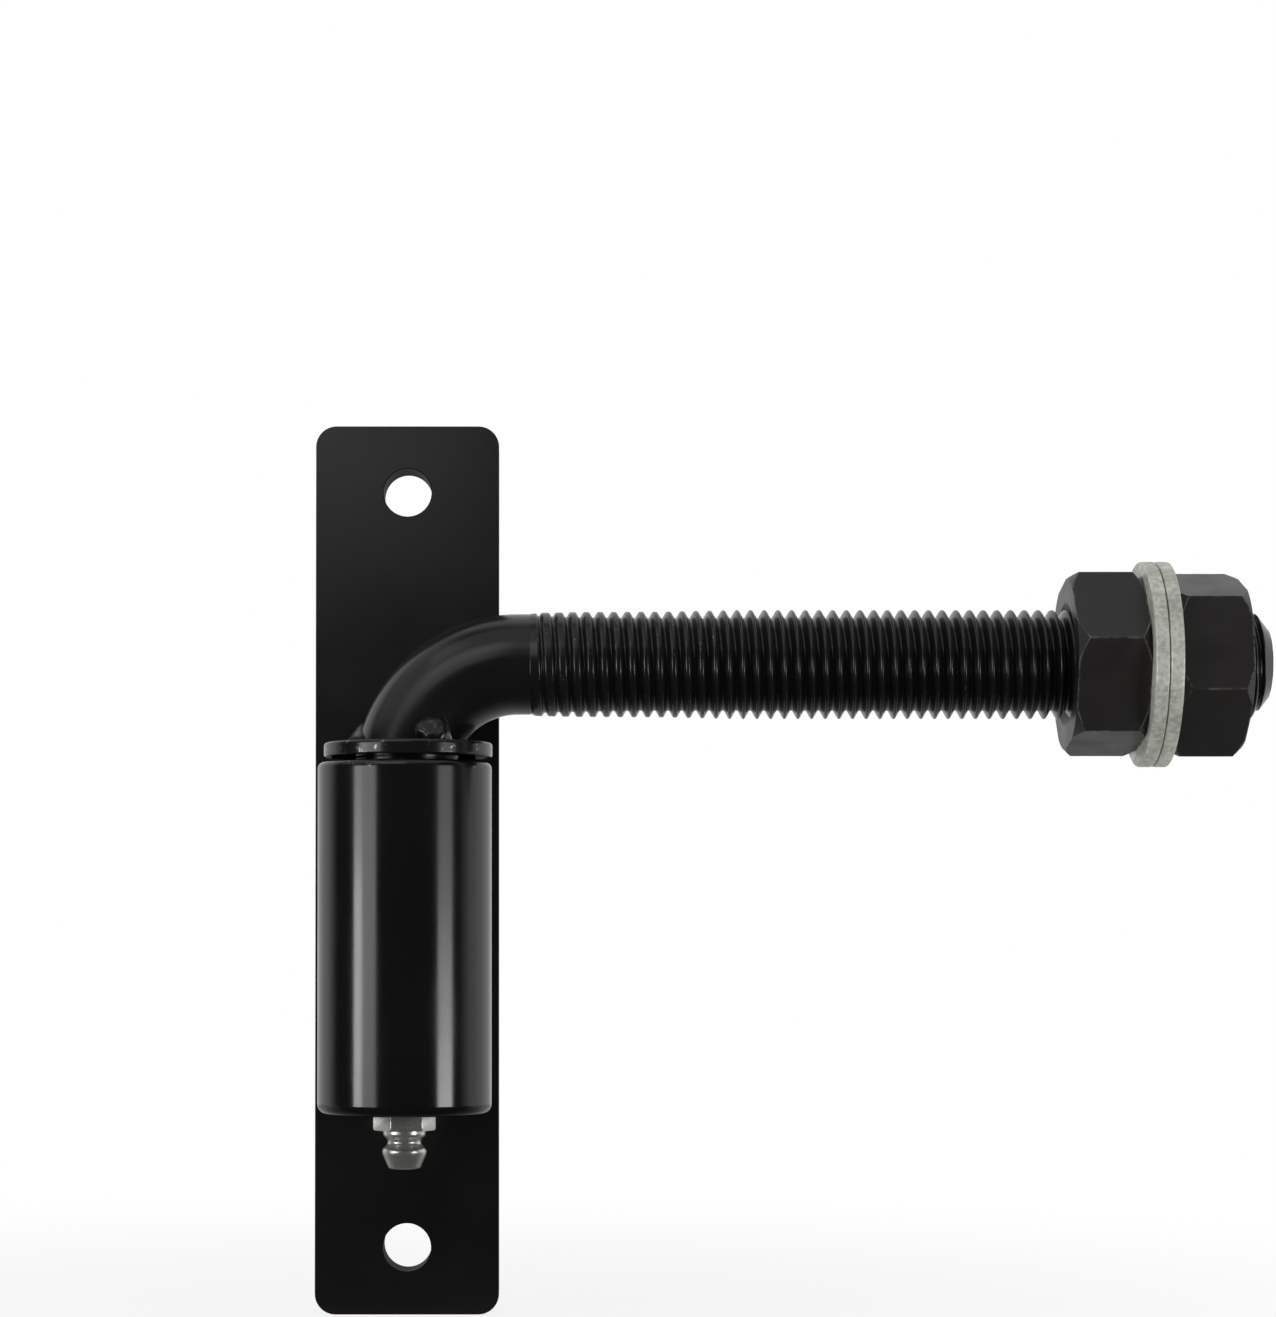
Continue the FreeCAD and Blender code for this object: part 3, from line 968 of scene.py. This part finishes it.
@dataclass
class GreaseFitting:
    """Grease fitting in the barrel's floor, with its check ball and spring, in millimetres."""

    layout: HingeLayout
    body: str = "post_side"
    facets: int = 96
    hex_width: float = 7.94
    hex_height: float = 2.45
    hex_turn: float = 96.0
    hex_corner_ease: float = 0.5
    hex_edge_ease: float = 0.08
    hex_facets: int = 2
    # Edges of the hex that turn by more than this, in radians, are eased.
    crisp_angle: float = 0.5
    shank_radius: float = 3.1
    shank_length: float = 5.2
    shank_rounding: float = 0.3
    shoulder_drop: float = 0.7
    neck_radius: float = 2.45
    neck_drop: float = 1.4
    neck_length: float = 0.5
    neck_rounding: float = 0.2
    head_radius: float = 3.25
    head_low: float = 2.25
    head_high: float = 2.85
    head_rounding: float = 0.28
    tip_radius: float = 2.3
    tip_rounding: float = 0.35
    length: float = 5.6
    hole_radius: float = 0.85
    hole_rounding: float = 0.1
    seat_low: float = 1.5
    seat_high: float = 2.1
    bore_radius: float = 1.45
    shelf_width: float = 0.7
    shelf_height: float = 0.6

    def build(self) -> None:
        """Build and dress every piece."""
        self.build_head()
        dress_node("grease_fitting_ball", BALL_STEEL)
        dress_node("grease_fitting_spring", SPRING_STEEL)

    def build_head(self) -> None:
        """Turn the shank, neck and coupling head, and add the hex round them."""
        base = self.layout.barrel_bottom - self.hex_height
        tip = base - self.length
        top = self.layout.barrel_bottom + self.shank_length
        shelf, shelf_radius = top - self.shelf_height, self.bore_radius - self.shelf_width
        mesh = turn(
            [
                (self.hole_radius, tip, self.hole_rounding),
                (self.tip_radius, tip, self.tip_rounding),
                (self.head_radius, tip + self.head_low, self.head_rounding),
                (self.head_radius, tip + self.head_high, self.head_rounding),
                (self.neck_radius, base - self.neck_drop - self.neck_length, self.neck_rounding),
                (self.neck_radius, base - self.neck_drop, self.neck_rounding),
                (self.shank_radius, base - self.shoulder_drop, self.neck_rounding),
                (self.shank_radius, top, self.shank_rounding),
                (shelf_radius, top, 0),
                (shelf_radius, shelf, 0),
                (self.bore_radius, shelf, 0),
                (self.bore_radius, tip + self.seat_high, 0),
                (self.hole_radius, tip + self.seat_low, 0),
            ],
            Axis.BARREL,
            self.layout.barrel_foot,
            self.facets,
            closed=True,
        )
        self.add_hex(mesh, base)
        finish_piece(mesh, "grease_fitting", ["grease_fitting_body"], self.body, FITTING_ZINC)

    def add_hex(self, mesh: bmesh.types.BMesh, base: float) -> None:
        """Add the hex with its eased lower corners.

        Args:
            mesh: Mesh of the fitting.
            base: Height of the hex's lower face, in millimetres.
        """
        before = set(mesh.verts)
        corner = self.hex_width / 2 / math.cos(math.radians(HEX_STEP / 2)) * MM
        middle = self.layout.barrel_foot + Vector((0, 0, base + self.hex_height / 2)) * MM
        made = bmesh.ops.create_cone(
            mesh,
            cap_ends=True,
            cap_tris=False,
            segments=HEX_SIDES,
            radius1=corner,
            radius2=corner,
            depth=self.hex_height * MM,
            matrix=Matrix.Translation(middle) @ Matrix.Rotation(math.radians(self.hex_turn), 4, "Z"),
        )
        for vert in [v for v in made["verts"] if v.co.z < (base + HAIR) * MM]:
            soften(mesh, [vert], self.hex_corner_ease, self.hex_facets, Ease.CORNERS)
        edges = {e for v in mesh.verts if v not in before for e in v.link_edges}
        crisp = [e for e in edges if e.is_manifold and e.calc_face_angle(0.0) > self.crisp_angle]
        soften(mesh, crisp, self.hex_edge_ease, self.hex_facets, Ease.EDGES)


@dataclass
class BentRod:
    """Pin, bend and threaded arm, made of one rod, in millimetres and degrees.

    The thread's growth tables give radii by distance from the thread's start.
    """

    layout: HingeLayout
    body: str = "gate_side"
    facets: int = 72
    rod_radius: float = 7.35
    rod_sharp: float = 80.0
    bend_radius: float = 16.5
    bend_angle: float = 90.0
    bend_steps: int = 40
    pin_end: float = -18.68
    pin_rounding: float = 0.8
    seat_apex: float = -14.18
    seat_radius: float = 4.5
    seat_rounding: float = 0.1
    arm_end: float = 126.0
    tip_radius: float = 5.2
    tip_chamfer: float = 2.2
    thread_start: float = 18.2
    thread_samples: int = 14
    thread_merge: float = 0.002
    pitch: float = 2.0
    flank_angle: float = 30.0
    root_half_width: float = 0.15
    crest_radius: float = 7.99
    crest_blend: float = 0.2
    crest_growth: Table = ((0.0, 7.36), (1.2, 7.55), (7.4, 7.68), (19.8, 7.74), (25.8, 7.88), (29.8, 7.99))
    root_growth: Table = ((0.0, 7.35), (1.4, 7.12), (5.2, 6.95), (15.8, 6.77))
    rub_start: float = 1.0
    rub_depth: float = 0.03

    def build(self) -> None:
        """Make the pin, the bend and the threaded arm as one piece, and dress it."""
        mesh = self.pin_and_bend()
        self.add_thread(mesh)
        mark_wear(mesh, self.crest_wear)
        finish_piece(mesh, "bent_rod", ["j_bolt"], self.body, ROD_PAINT, self.rod_sharp)

    def growth(self, table: Table, x: float) -> float:
        """Read a growth table by straight lines between its places.

        Args:
            table: Distances from the thread's start in rising order, each with a radius.
            x: Place on the arm.

        Returns:
            The radius there, held at the ends.
        """
        at = x - self.thread_start
        if at <= table[0][0]:
            return table[0][1]
        for (a, va), (b, vb) in zip(table, table[1:]):
            if at <= b:
                return va + (vb - va) * (at - a) / (b - a)
        return table[-1][1]

    def crest_wear(self, _: bmesh.types.BMFace, at: Vector) -> float:
        """Wear on the thread's crests, past its first half turn.

        Args:
            at: Corner of a face of the rod, in metres.

        Returns:
            Wear from 0 to 1.
        """
        x = at.x / MM
        reach = (at - self.layout.arm_foot).yz.length / MM
        started = x > self.thread_start + self.rub_start
        return 1.0 if started and reach > self.growth(self.crest_growth, x) - self.rub_depth else 0.0

    def pin_and_bend(self) -> bmesh.types.BMesh:
        """Turn the pin and sweep its upper end through the bend to the thread's start.

        Returns:
            The plain part of the rod.
        """
        foot = self.layout.barrel_foot
        bend_z = self.layout.arm_z - self.bend_radius
        mesh = turn(
            [
                (0, self.seat_apex, 0),
                (self.seat_radius, self.pin_end, self.seat_rounding),
                (self.rod_radius, self.pin_end, self.pin_rounding),
                (self.rod_radius, bend_z, 0),
            ],
            Axis.BARREL,
            foot,
            self.facets,
        )
        rim = open_edges(mesh)
        sweep(
            mesh,
            list({v for e in rim for v in e.verts}) + rim,
            foot + Vector((self.bend_radius, 0, bend_z)) * MM,
            Axis.BEND,
            self.bend_steps,
            self.bend_angle,
        )
        made = bmesh.ops.extrude_edge_only(mesh, edges=open_edges(mesh))
        run = Vector((self.thread_start - self.bend_radius, 0, 0)) * MM
        bmesh.ops.translate(mesh, verts=made_of(bmesh.types.BMVert, made), vec=run)
        bmesh.ops.holes_fill(mesh, edges=open_edges(mesh), sides=0)
        face_outwards(mesh)
        return mesh

    def add_thread(self, rod: bmesh.types.BMesh) -> None:
        """Roll the thread on the arm and join it to the rod.

        The grooves deepen and the crests rise over the first turns, as rolling dies leave them.

        Args:
            rod: Mesh that the thread is added to.
        """
        foot = self.layout.arm_foot
        mesh = bmesh.new()
        # The helix starts two turns early and is cut back below.
        first = self.thread_start - 2 * self.pitch
        places = [first + self.pitch * i / self.thread_samples for i in range(self.thread_samples + 1)]
        verts = [mesh.verts.new(foot + Vector((x, 0, self.rod_radius)) * MM) for x in places]
        for a, b in zip(verts, verts[1:]):
            mesh.edges.new((a, b))
        sweep(mesh, whole(mesh), foot, Axis.ARM, self.facets, advance=self.pitch)
        turns = 1
        while turns * self.pitch < self.arm_end - first + self.pitch:
            copy = bmesh.ops.duplicate(mesh, geom=whole(mesh))
            shift = Vector((turns * self.pitch * MM, 0, 0))
            bmesh.ops.translate(mesh, verts=made_of(bmesh.types.BMVert, copy), vec=shift)
            turns *= 2
        bmesh.ops.remove_doubles(mesh, verts=mesh.verts[:], dist=self.thread_merge * MM)
        for vert in mesh.verts:
            self.form_thread(vert, foot)
        for at, clear_outer in ((self.thread_start, False), (self.arm_end, True)):
            bmesh.ops.bisect_plane(
                mesh,
                geom=whole(mesh),
                plane_co=Vector((at * MM, 0, 0)),
                plane_no=Vector(Axis.ARM.value),
                clear_outer=clear_outer,
                clear_inner=not clear_outer,
                dist=MERGE,
            )
        bmesh.ops.holes_fill(mesh, edges=open_edges(mesh), sides=0)
        face_outwards(mesh)
        data = bpy.data.meshes.new("thread")
        mesh.to_mesh(data)
        mesh.free()
        rod.from_mesh(data)
        bpy.data.meshes.remove(data)

    def form_thread(self, vert: bmesh.types.BMVert, foot: Vector) -> None:
        """Move one vertex of the plain helix to the thread's surface.

        Flanks rise from a flat root and blend softly into the crest, and the arm's end is chamfered.

        Args:
            vert: Vertex to move.
            foot: Point on the arm's axis, in metres.
        """
        x = vert.co.x / MM
        spoke = Vector((0, vert.co.y - foot.y, vert.co.z - foot.z))
        angle = math.atan2(spoke.z, spoke.y)
        phase = ((x - self.pitch * angle / math.tau) / self.pitch) % 1.0
        off = max(0.0, abs(phase - 0.5) * self.pitch - self.root_half_width)
        flank = self.growth(self.root_growth, x) + off / math.tan(math.radians(self.flank_angle))
        crest = self.growth(self.crest_growth, x)
        share = min(max(0.5 + 0.5 * (crest - flank) / self.crest_blend, 0.0), 1.0)
        radius = crest + (flank - crest) * share - self.crest_blend * share * (1.0 - share)
        slope = (self.crest_radius - self.tip_radius) / self.tip_chamfer
        radius = min(radius, self.tip_radius + max(0.0, self.arm_end - x) * slope)
        spoke.normalize()
        vert.co = Vector((vert.co.x, foot.y, foot.z)) + spoke * radius * MM


@dataclass
class WeldedCollar:
    """Collar washer on the rod and the two welds that hold it, in millimetres and degrees."""

    layout: HingeLayout
    body: str = "gate_side"
    facets: int = 160
    radius: float = 12.3
    hole: float = 8.5
    low: float = field(default_factory=lambda: box_mm("collar_washer")[0].z)
    high: float = field(default_factory=lambda: box_mm("collar_washer")[1].z)
    shift: float = 0.5
    low_rounding: float = 0.30
    high_rounding: float = 0.45
    hole_low_rounding: float = 0.15
    hole_high_rounding: float = 0.2
    rub_width: float = 0.2
    weld_sharp: float = 60.0
    flare: Table = (
        (5.4, 0.0),
        (9.5, 0.0),
        (8.9, 0.25),
        (8.3, 0.65),
        (7.7, 1.2),
        (7.2, 1.8),
        (6.8, 2.4),
        (6.3, 2.9),
        (5.4, 3.0),
    )
    flare_start: float = 80.0
    flare_sweep: float = 145.0
    flare_steps: int = 72
    flare_start_taper: float = 40.0
    flare_end_taper: float = 45.0
    flare_ripple: float = 0.05
    flare_ripple_step: float = 11.0
    flare_ripple_slant: float = 4.0
    blob_x: float = 4.3
    blob_in_front: float = 6.1
    blob_rise: float = 0.8
    blob_radius: float = 3.25
    blob_shrink: float = 0.12
    blob_subdivisions: int = 5
    # Waves per metre of the blob's noise, each with its share of the radius.
    blob_lumps: Table = ((420.0, 0.16), (1300.0, 0.03))

    def build(self) -> None:
        """Build and dress every piece."""
        self.build_collar()
        self.build_outer_weld()
        self.build_inner_weld()

    @property
    def foot(self) -> Vector:
        """Point on the collar's axis at height zero, in metres."""
        return self.layout.barrel_foot + Vector((self.shift * MM, 0, 0))

    def build_collar(self) -> None:
        """Turn the collar washer with its soft stamped rims."""
        mesh = turn(
            [
                (self.hole, self.low, self.hole_low_rounding),
                (self.radius, self.low, self.low_rounding),
                (self.radius, self.high, self.high_rounding),
                (self.hole, self.high, self.hole_high_rounding),
            ],
            Axis.BARREL,
            self.foot,
            self.facets,
            closed=True,
        )
        mark_wear(mesh, self.rim_wear)
        finish_piece(mesh, "collar", ["collar_washer"], self.body, COLLAR_PAINT)

    def rim_wear(self, _: bmesh.types.BMFace, at: Vector) -> float:
        """Wear on the collar's outer rim only."""
        rim = (self.radius - self.rub_width) * MM
        return 1.0 if (at - self.foot).xy.length > rim else 0.0

    def build_outer_weld(self) -> None:
        """Lay the fillet bead round the outer side of the bend."""
        foot = self.layout.barrel_foot
        base = self.high
        last = self.flare_start + self.flare_sweep
        mesh = bmesh.new()
        mesh.faces.new([mesh.verts.new(foot + Vector((r, 0, base + rise)) * MM) for r, rise in self.flare])
        begin = Matrix.Rotation(math.radians(self.flare_start), 3, "Z")
        bmesh.ops.rotate(mesh, verts=mesh.verts[:], cent=foot, matrix=begin)
        sweep(mesh, whole(mesh), foot, Axis.BARREL, self.flare_steps, self.flare_sweep)
        for vert in mesh.verts:
            spoke = vert.co - foot
            lift = spoke.z / MM - base
            if lift < HAIR:
                continue
            angle = math.degrees(math.atan2(spoke.y, spoke.x)) % FULL_TURN
            begun = (angle - self.flare_start) / self.flare_start_taper
            end = max(0.0, min(1.0, begun, (last - angle) / self.flare_end_taper))
            wave = math.cos(math.tau * (angle + self.flare_ripple_slant * lift) / self.flare_ripple_step)
            vert.co.z = (base + lift * end * (1.0 + self.flare_ripple * wave)) * MM
        face_outwards(mesh)
        nodes = ["collar_weld_outer"]
        finish_piece(mesh, "collar_bead", nodes, self.body, WELD_PAINT, self.weld_sharp)

    def build_inner_weld(self) -> None:
        """Shape the weld blob under the bend, flat where it lies on the collar."""
        place = Vector((self.blob_x, -self.blob_in_front, self.high + self.blob_rise))
        centre = self.layout.barrel_foot + place * MM
        mesh = bmesh.new()
        bmesh.ops.create_icosphere(
            mesh,
            subdivisions=self.blob_subdivisions,
            radius=self.blob_radius * MM,
            matrix=Matrix.Translation(centre),
        )
        for vert in mesh.verts:
            spoke = vert.co - centre
            lump = sum(noise.noise(spoke * waves) * share for waves, share in self.blob_lumps)
            vert.co = centre + spoke * (1.0 + lump - self.blob_shrink)
            vert.co.z = max(vert.co.z, self.high * MM)
        face_outwards(mesh)
        nodes = ["collar_weld_inner"]
        finish_piece(mesh, "collar_blob", nodes, self.body, WELD_PAINT, self.weld_sharp)


class ClampEnd(Enum):
    """The two sides of the clamped gate frame."""

    INNER = "inner"
    OUTER = "outer"


@dataclass
class ClampSet:
    """A nut and washer on one side of the gate frame, in millimetres and degrees."""

    layout: HingeLayout
    end: ClampEnd
    nut_turn: float
    width: float = 24.0
    height: float = 10.5
    face_radius: float = 12.5
    bore_radius: float = 8.05
    countersink: float = 1.0
    side_facets: int = 24
    corner_step: float = 0.7
    nut_sharp: float = 28.0
    rub_width: float = 0.18
    corner_wear: float = 0.3
    # A face whose normal leans further along the arm than this is no flat.
    flat_tilt: float = 0.3
    washer_facets: int = 192
    washer_radius: float = 15.0
    washer_hole: float = 8.5
    soft_rounding: float = 0.40
    soft_hole_rounding: float = 0.2
    crisp_rounding: float = 0.22
    crisp_hole_rounding: float = 0.1

    def build(self) -> None:
        """Build and dress the nut and the washer."""
        self.build_nut()
        self.build_washer()

    def hex_radius(self, angle: float) -> float:
        """Distance from the axis to the hex outline at an angle, in millimetres."""
        within = (angle - math.radians(self.nut_turn)) % math.radians(HEX_STEP) - math.radians(HEX_STEP / 2)
        return self.width / 2 / math.cos(within)

    def face_reach(self, angle: float) -> float:
        """Radius of the nut's end face, cut by the flats, in millimetres."""
        return min(self.face_radius, self.hex_radius(angle))

    def chamfer_depth(self, angle: float) -> float:
        """Depth of the 45 degree chamfer at the hex outline, in millimetres."""
        return self.hex_radius(angle) - self.face_reach(angle)

    def spread(self, angle: float) -> float:
        """Turn an even angle to the nut, with narrow steps on both sides of each corner.

        Args:
            angle: Angle of one of the evenly spaced points.

        Returns:
            The angle that the point takes on the nut.
        """
        step = round(angle / math.tau * HEX_SIDES * self.side_facets)
        side, within = divmod(step, self.side_facets)
        share = (within - 1) / (self.side_facets - 2)
        offset = self.corner_step + share * (HEX_STEP - 2 * self.corner_step) if within else 0.0
        return math.radians(self.nut_turn + HEX_STEP * side + offset)

    def rings(self) -> list[Ring]:
        """List the nut's rings of vertices, from the bore over the flats and back.

        Returns:
            The rings in order, the last one where the first is.
        """
        half: list[Ring] = [
            lambda a: (self.bore_radius, self.countersink),
            lambda a: (self.bore_radius + self.countersink, 0.0),
            lambda a: (self.face_reach(a), 0.0),
            lambda a: (self.hex_radius(a), self.chamfer_depth(a)),
            lambda a: (self.hex_radius(a), self.chamfer_depth(a) + self.rub_width),
        ]
        mirrored = [lambda a, ring=r: (ring(a)[0], self.height - ring(a)[1]) for r in reversed(half)]
        return half + mirrored + half[:1]

    @staticmethod
    def place_ring(ring: Ring, angles: dict[bmesh.types.BMVert, float], foot: Vector) -> None:
        """Move vertices to their ring.

        Args:
            ring: Ring that they belong to.
            angles: The vertices, each with its angle.
            foot: Point on the arm's axis at the nut's first face, in metres.
        """
        for vert, angle in angles.items():
            radius, height = ring(angle)
            spot = Vector((height, -radius * math.cos(angle), radius * math.sin(angle)))
            vert.co = foot + spot * MM

    def build_nut(self) -> None:
        """Extrude the nut ring by ring, from bore to flats and back."""
        name = f"{self.end.value}_nut"
        foot = self.layout.arm_foot + Vector((box_mm(name)[0].x * MM, 0, 0))
        mesh = bmesh.new()
        segments = HEX_SIDES * self.side_facets
        start = bmesh.ops.create_circle(mesh, cap_ends=False, radius=MM, segments=segments)
        angles = {v: self.spread(math.atan2(v.co.y, v.co.x)) for v in start["verts"]}
        first, *others = self.rings()
        self.place_ring(first, angles, foot)
        edges = mesh.edges[:]
        for ring in others:
            edges = made_of(bmesh.types.BMEdge, bmesh.ops.extrude_edge_only(mesh, edges=edges))
            pairs = [(v, e.other_vert(v)) for v in {v for e in edges for v in e.verts} for e in v.link_edges]
            angles = {v: angles[other] for v, other in pairs if other in angles}
            self.place_ring(ring, angles, foot)
        bmesh.ops.remove_doubles(mesh, verts=mesh.verts[:], dist=MERGE)
        face_outwards(mesh)
        mark_wear(mesh, lambda face, _: self.rub_share(face, foot))
        finish_piece(mesh, name + "_shape", [name], name, NUT_OXIDE, self.nut_sharp)

    def rub_share(self, face: bmesh.types.BMFace, foot: Vector) -> float:
        """Wear on the flats' narrow strips: full along the chamfers, faint along the corners.

        Args:
            face: Face of the nut.
            foot: Point on the arm's axis, in metres.

        Returns:
            Wear from 0 to 1.
        """
        reach = min((v.co - foot).yz.length for v in face.verts)
        if reach < (self.width / 2 - HAIR) * MM or abs(face.normal.x) > self.flat_tilt:
            return 0.0
        along = [v.co.x for v in face.verts]
        if max(along) - min(along) < 4 * self.rub_width * MM:
            return 1.0
        narrowest = min(e.calc_length() for e in face.edges)
        return self.corner_wear if narrowest < 2 * self.rub_width * MM else 0.0

    def build_washer(self) -> None:
        """Turn the washer with one soft and one crisper stamped rim."""
        name = f"{self.end.value}_washer"
        soft, crisp = (corner.x for corner in box_mm(name))
        mesh = turn(
            [
                (self.washer_hole, soft, self.soft_hole_rounding),
                (self.washer_radius, soft, self.soft_rounding),
                (self.washer_radius, crisp, self.crisp_rounding),
                (self.washer_hole, crisp, self.crisp_hole_rounding),
            ],
            Axis.ARM,
            self.layout.arm_foot,
            self.washer_facets,
            closed=True,
        )
        finish_piece(mesh, name + "_shape", [name], name, WASHER_ZINC)


@dataclass(frozen=True)
class SoftBox:
    """A soft light whose face is one or more bands, each of even brightness.

    Azimuth counts from the camera's side towards the right. A band gives its lowest and highest place as
    seen from the aim, in millimetres square to the line of sight, and its brightness.
    """

    name: str
    azimuth: float
    width: float
    bands: tuple[tuple[float, float, float], ...]
    elevation: float = 0.0
    distance: float = 450.0
    aim: tuple[float, float, float] = (0.0, -20.7, -10.0)

    def build(self) -> None:
        """Hang one area lamp for each band."""
        bearing, lift = math.radians(self.azimuth), math.radians(self.elevation)
        level = math.cos(lift)
        way = Vector((math.sin(bearing) * level, -math.cos(bearing) * level, math.sin(lift)))
        facing = (-way).to_track_quat("-Z", "Y")
        for number, (low, high, brightness) in enumerate(self.bands):
            data = bpy.data.lights.new(f"{self.name}_{number}", "AREA")
            data.shape = "RECTANGLE"
            data.size, data.size_y = self.width * MM, (high - low) * MM
            data.energy = math.pi * data.size * data.size_y * brightness
            lamp = bpy.data.objects.new(data.name, data)
            rise = facing @ Vector((0, (low + high) / 2, 0))
            lamp.location = (Vector(self.aim) + way * self.distance + rise) * MM
            lamp.rotation_mode = "QUATERNION"
            lamp.rotation_quaternion = facing
            lamp.visible_camera = False
            bpy.context.scene.collection.objects.link(lamp)
            LOG.info("%s: %.2f W", data.name, data.energy)


@dataclass
class Studio:
    """Floor, soft lights, surroundings and the camera, in millimetres, degrees and photo pixels."""

    camera_place: tuple[float, float, float] = (15.29, -528.52, -10.0)
    camera_yaw: float = 0.166
    camera_pitch: float = 1.637
    focal_pixels: float = 3477.4
    frame_pixels: tuple[int, int] = (1276, 1317)
    sensor_width: float = 36.0
    shift: tuple[float, float] = (0.09, 0.135)
    clip: tuple[float, float] = (10.0, 50000.0)
    floor_z: float = -66.6
    floor_radius: float = 400.0
    floor_facets: int = 96
    room_light: float = 0.25
    room_dim: float = 0.03
    room_bright: float = 0.8
    room_skew: float = 0.18
    room_fade: tuple[float, float] = (-0.02, 0.3)

    def build(self) -> None:
        """Build the whole set."""
        bpy.context.scene.view_settings.view_transform = "Standard"
        self.place_camera()
        self.lay_floor()
        self.surround()
        self.hang_lights()

    def place_camera(self) -> None:
        """Stand the camera where the photograph was taken from."""
        data = bpy.data.cameras.new("photo_camera")
        data.sensor_fit = "AUTO"
        data.sensor_width = self.sensor_width
        data.lens = self.focal_pixels * self.sensor_width / max(self.frame_pixels)
        data.clip_start, data.clip_end = (end * MM for end in self.clip)
        data.shift_x, data.shift_y = self.shift
        camera = bpy.data.objects.new("photo_camera", data)
        camera.location = Vector(self.camera_place) * MM
        yaw, pitch = math.radians(self.camera_yaw), math.radians(self.camera_pitch)
        camera.rotation_euler = (math.pi / 2 + pitch, 0.0, -yaw)
        bpy.context.scene.collection.objects.link(camera)
        bpy.context.scene.camera = camera

    def lay_floor(self) -> None:
        """Lay a plain white floor that keeps a soft shadow."""
        mesh = bmesh.new()
        bmesh.ops.create_circle(
            mesh,
            cap_ends=True,
            radius=self.floor_radius * MM,
            segments=self.floor_facets,
            matrix=Matrix.Translation(Vector((0, 0, self.floor_z * MM))),
        )
        data = bpy.data.meshes.new("studio_floor")
        mesh.to_mesh(data)
        mesh.free()
        data.materials.append(FLOOR_PAPER.material())
        floor = bpy.data.objects.new("studio_floor", data)
        bpy.context.scene.collection.objects.link(floor)

    def surround(self) -> None:
        """Set a white room behind the object and a dim one behind the camera."""
        world = bpy.data.worlds.new("studio_room")
        world.use_nodes = True
        world.node_tree.nodes.clear()
        add = partial(add_node, world.node_tree)
        way = add("TexCoord").outputs["Generated"]
        parts = add("SeparateXYZ", links={0: way})
        skewed = add(
            "Math",
            {"operation": "MULTIPLY_ADD", 1: self.room_skew},
            {0: parts.outputs["X"], 2: parts.outputs["Y"]},
        )
        behind = add(
            "MapRange",
            {
                "From Min": self.room_fade[0],
                "From Max": self.room_fade[1],
                "To Min": self.room_dim,
                "To Max": self.room_bright,
            },
            {"Value": skewed.outputs["Value"]},
        )
        ambient = add("Background", {"Color": WHITE, "Strength": self.room_light})
        mirrored = add("Background", {"Color": WHITE}, {"Strength": behind.outputs["Result"]})
        white = add("Background", {"Color": WHITE, "Strength": 1.0})
        path = add("LightPath")
        shine = add(
            "MixShader",
            links={0: path.outputs["Is Glossy Ray"], 1: ambient.outputs[0], 2: mirrored.outputs[0]},
        )
        direct = add(
            "Math",
            {"operation": "MAXIMUM"},
            {0: path.outputs["Is Camera Ray"], 1: path.outputs["Is Transmission Ray"]},
        )
        seen = add("MixShader", links={0: direct.outputs["Value"], 1: shine.outputs[0], 2: white.outputs[0]})
        add("OutputWorld", links={"Surface": seen.outputs[0]})
        bpy.context.scene.world = world

    def hang_lights(self) -> None:
        """Stand low soft boxes left and right, hang large panels above and a card near the bend."""
        left_bands = ((-105.0, 18.0, 9.0), (18.0, 90.0, 4.2))
        spill_bands = ((-105.0, 90.0, 3.2),)
        right_bands = ((-105.0, -22.0, 9.5), (-22.0, 6.0, 4.0), (6.0, 90.0, 1.9))
        top_bands = ((-450.0, 450.0, 0.45),)
        side_bands = ((-350.0, 350.0, 0.5),)
        card_bands = ((-53.0, 53.0, 0.88),)
        card_aim = (-68.0, -8.0, 119.0)
        far = 900.0
        boxes = (
            SoftBox("left_key", azimuth=-61.5, width=96.0, bands=left_bands),
            SoftBox("left_spill", azimuth=-45.5, width=150.0, bands=spill_bands),
            SoftBox("right_key", azimuth=56.0, width=166.0, bands=right_bands),
            SoftBox("top_panel", azimuth=8.0, width=1300.0, bands=top_bands, elevation=62.0, distance=far),
            SoftBox("side_panel", azimuth=-75.0, width=700.0, bands=side_bands, elevation=45.0, distance=far),
            SoftBox("near_card", azimuth=0.0, width=152.0, bands=card_bands, distance=142.0, aim=card_aim),
        )
        for box in boxes:
            box.build()


def main() -> None:
    """Build the hinge and its studio in order."""
    logging.basicConfig(level=logging.INFO, format="%(relativeCreated)7.0f ms %(message)s")
    layout = HingeLayout.from_frame()
    Studio().build()
    PostSide(layout).build()
    GreaseFitting(layout).build()
    dress_node("thrust_ball", BALL_STEEL)
    BentRod(layout).build()
    WeldedCollar(layout).build()
    ClampSet(layout, ClampEnd.INNER, nut_turn=12.0).build()
    ClampSet(layout, ClampEnd.OUTER, nut_turn=-19.0).build()


if __name__ == "__main__":
    main()
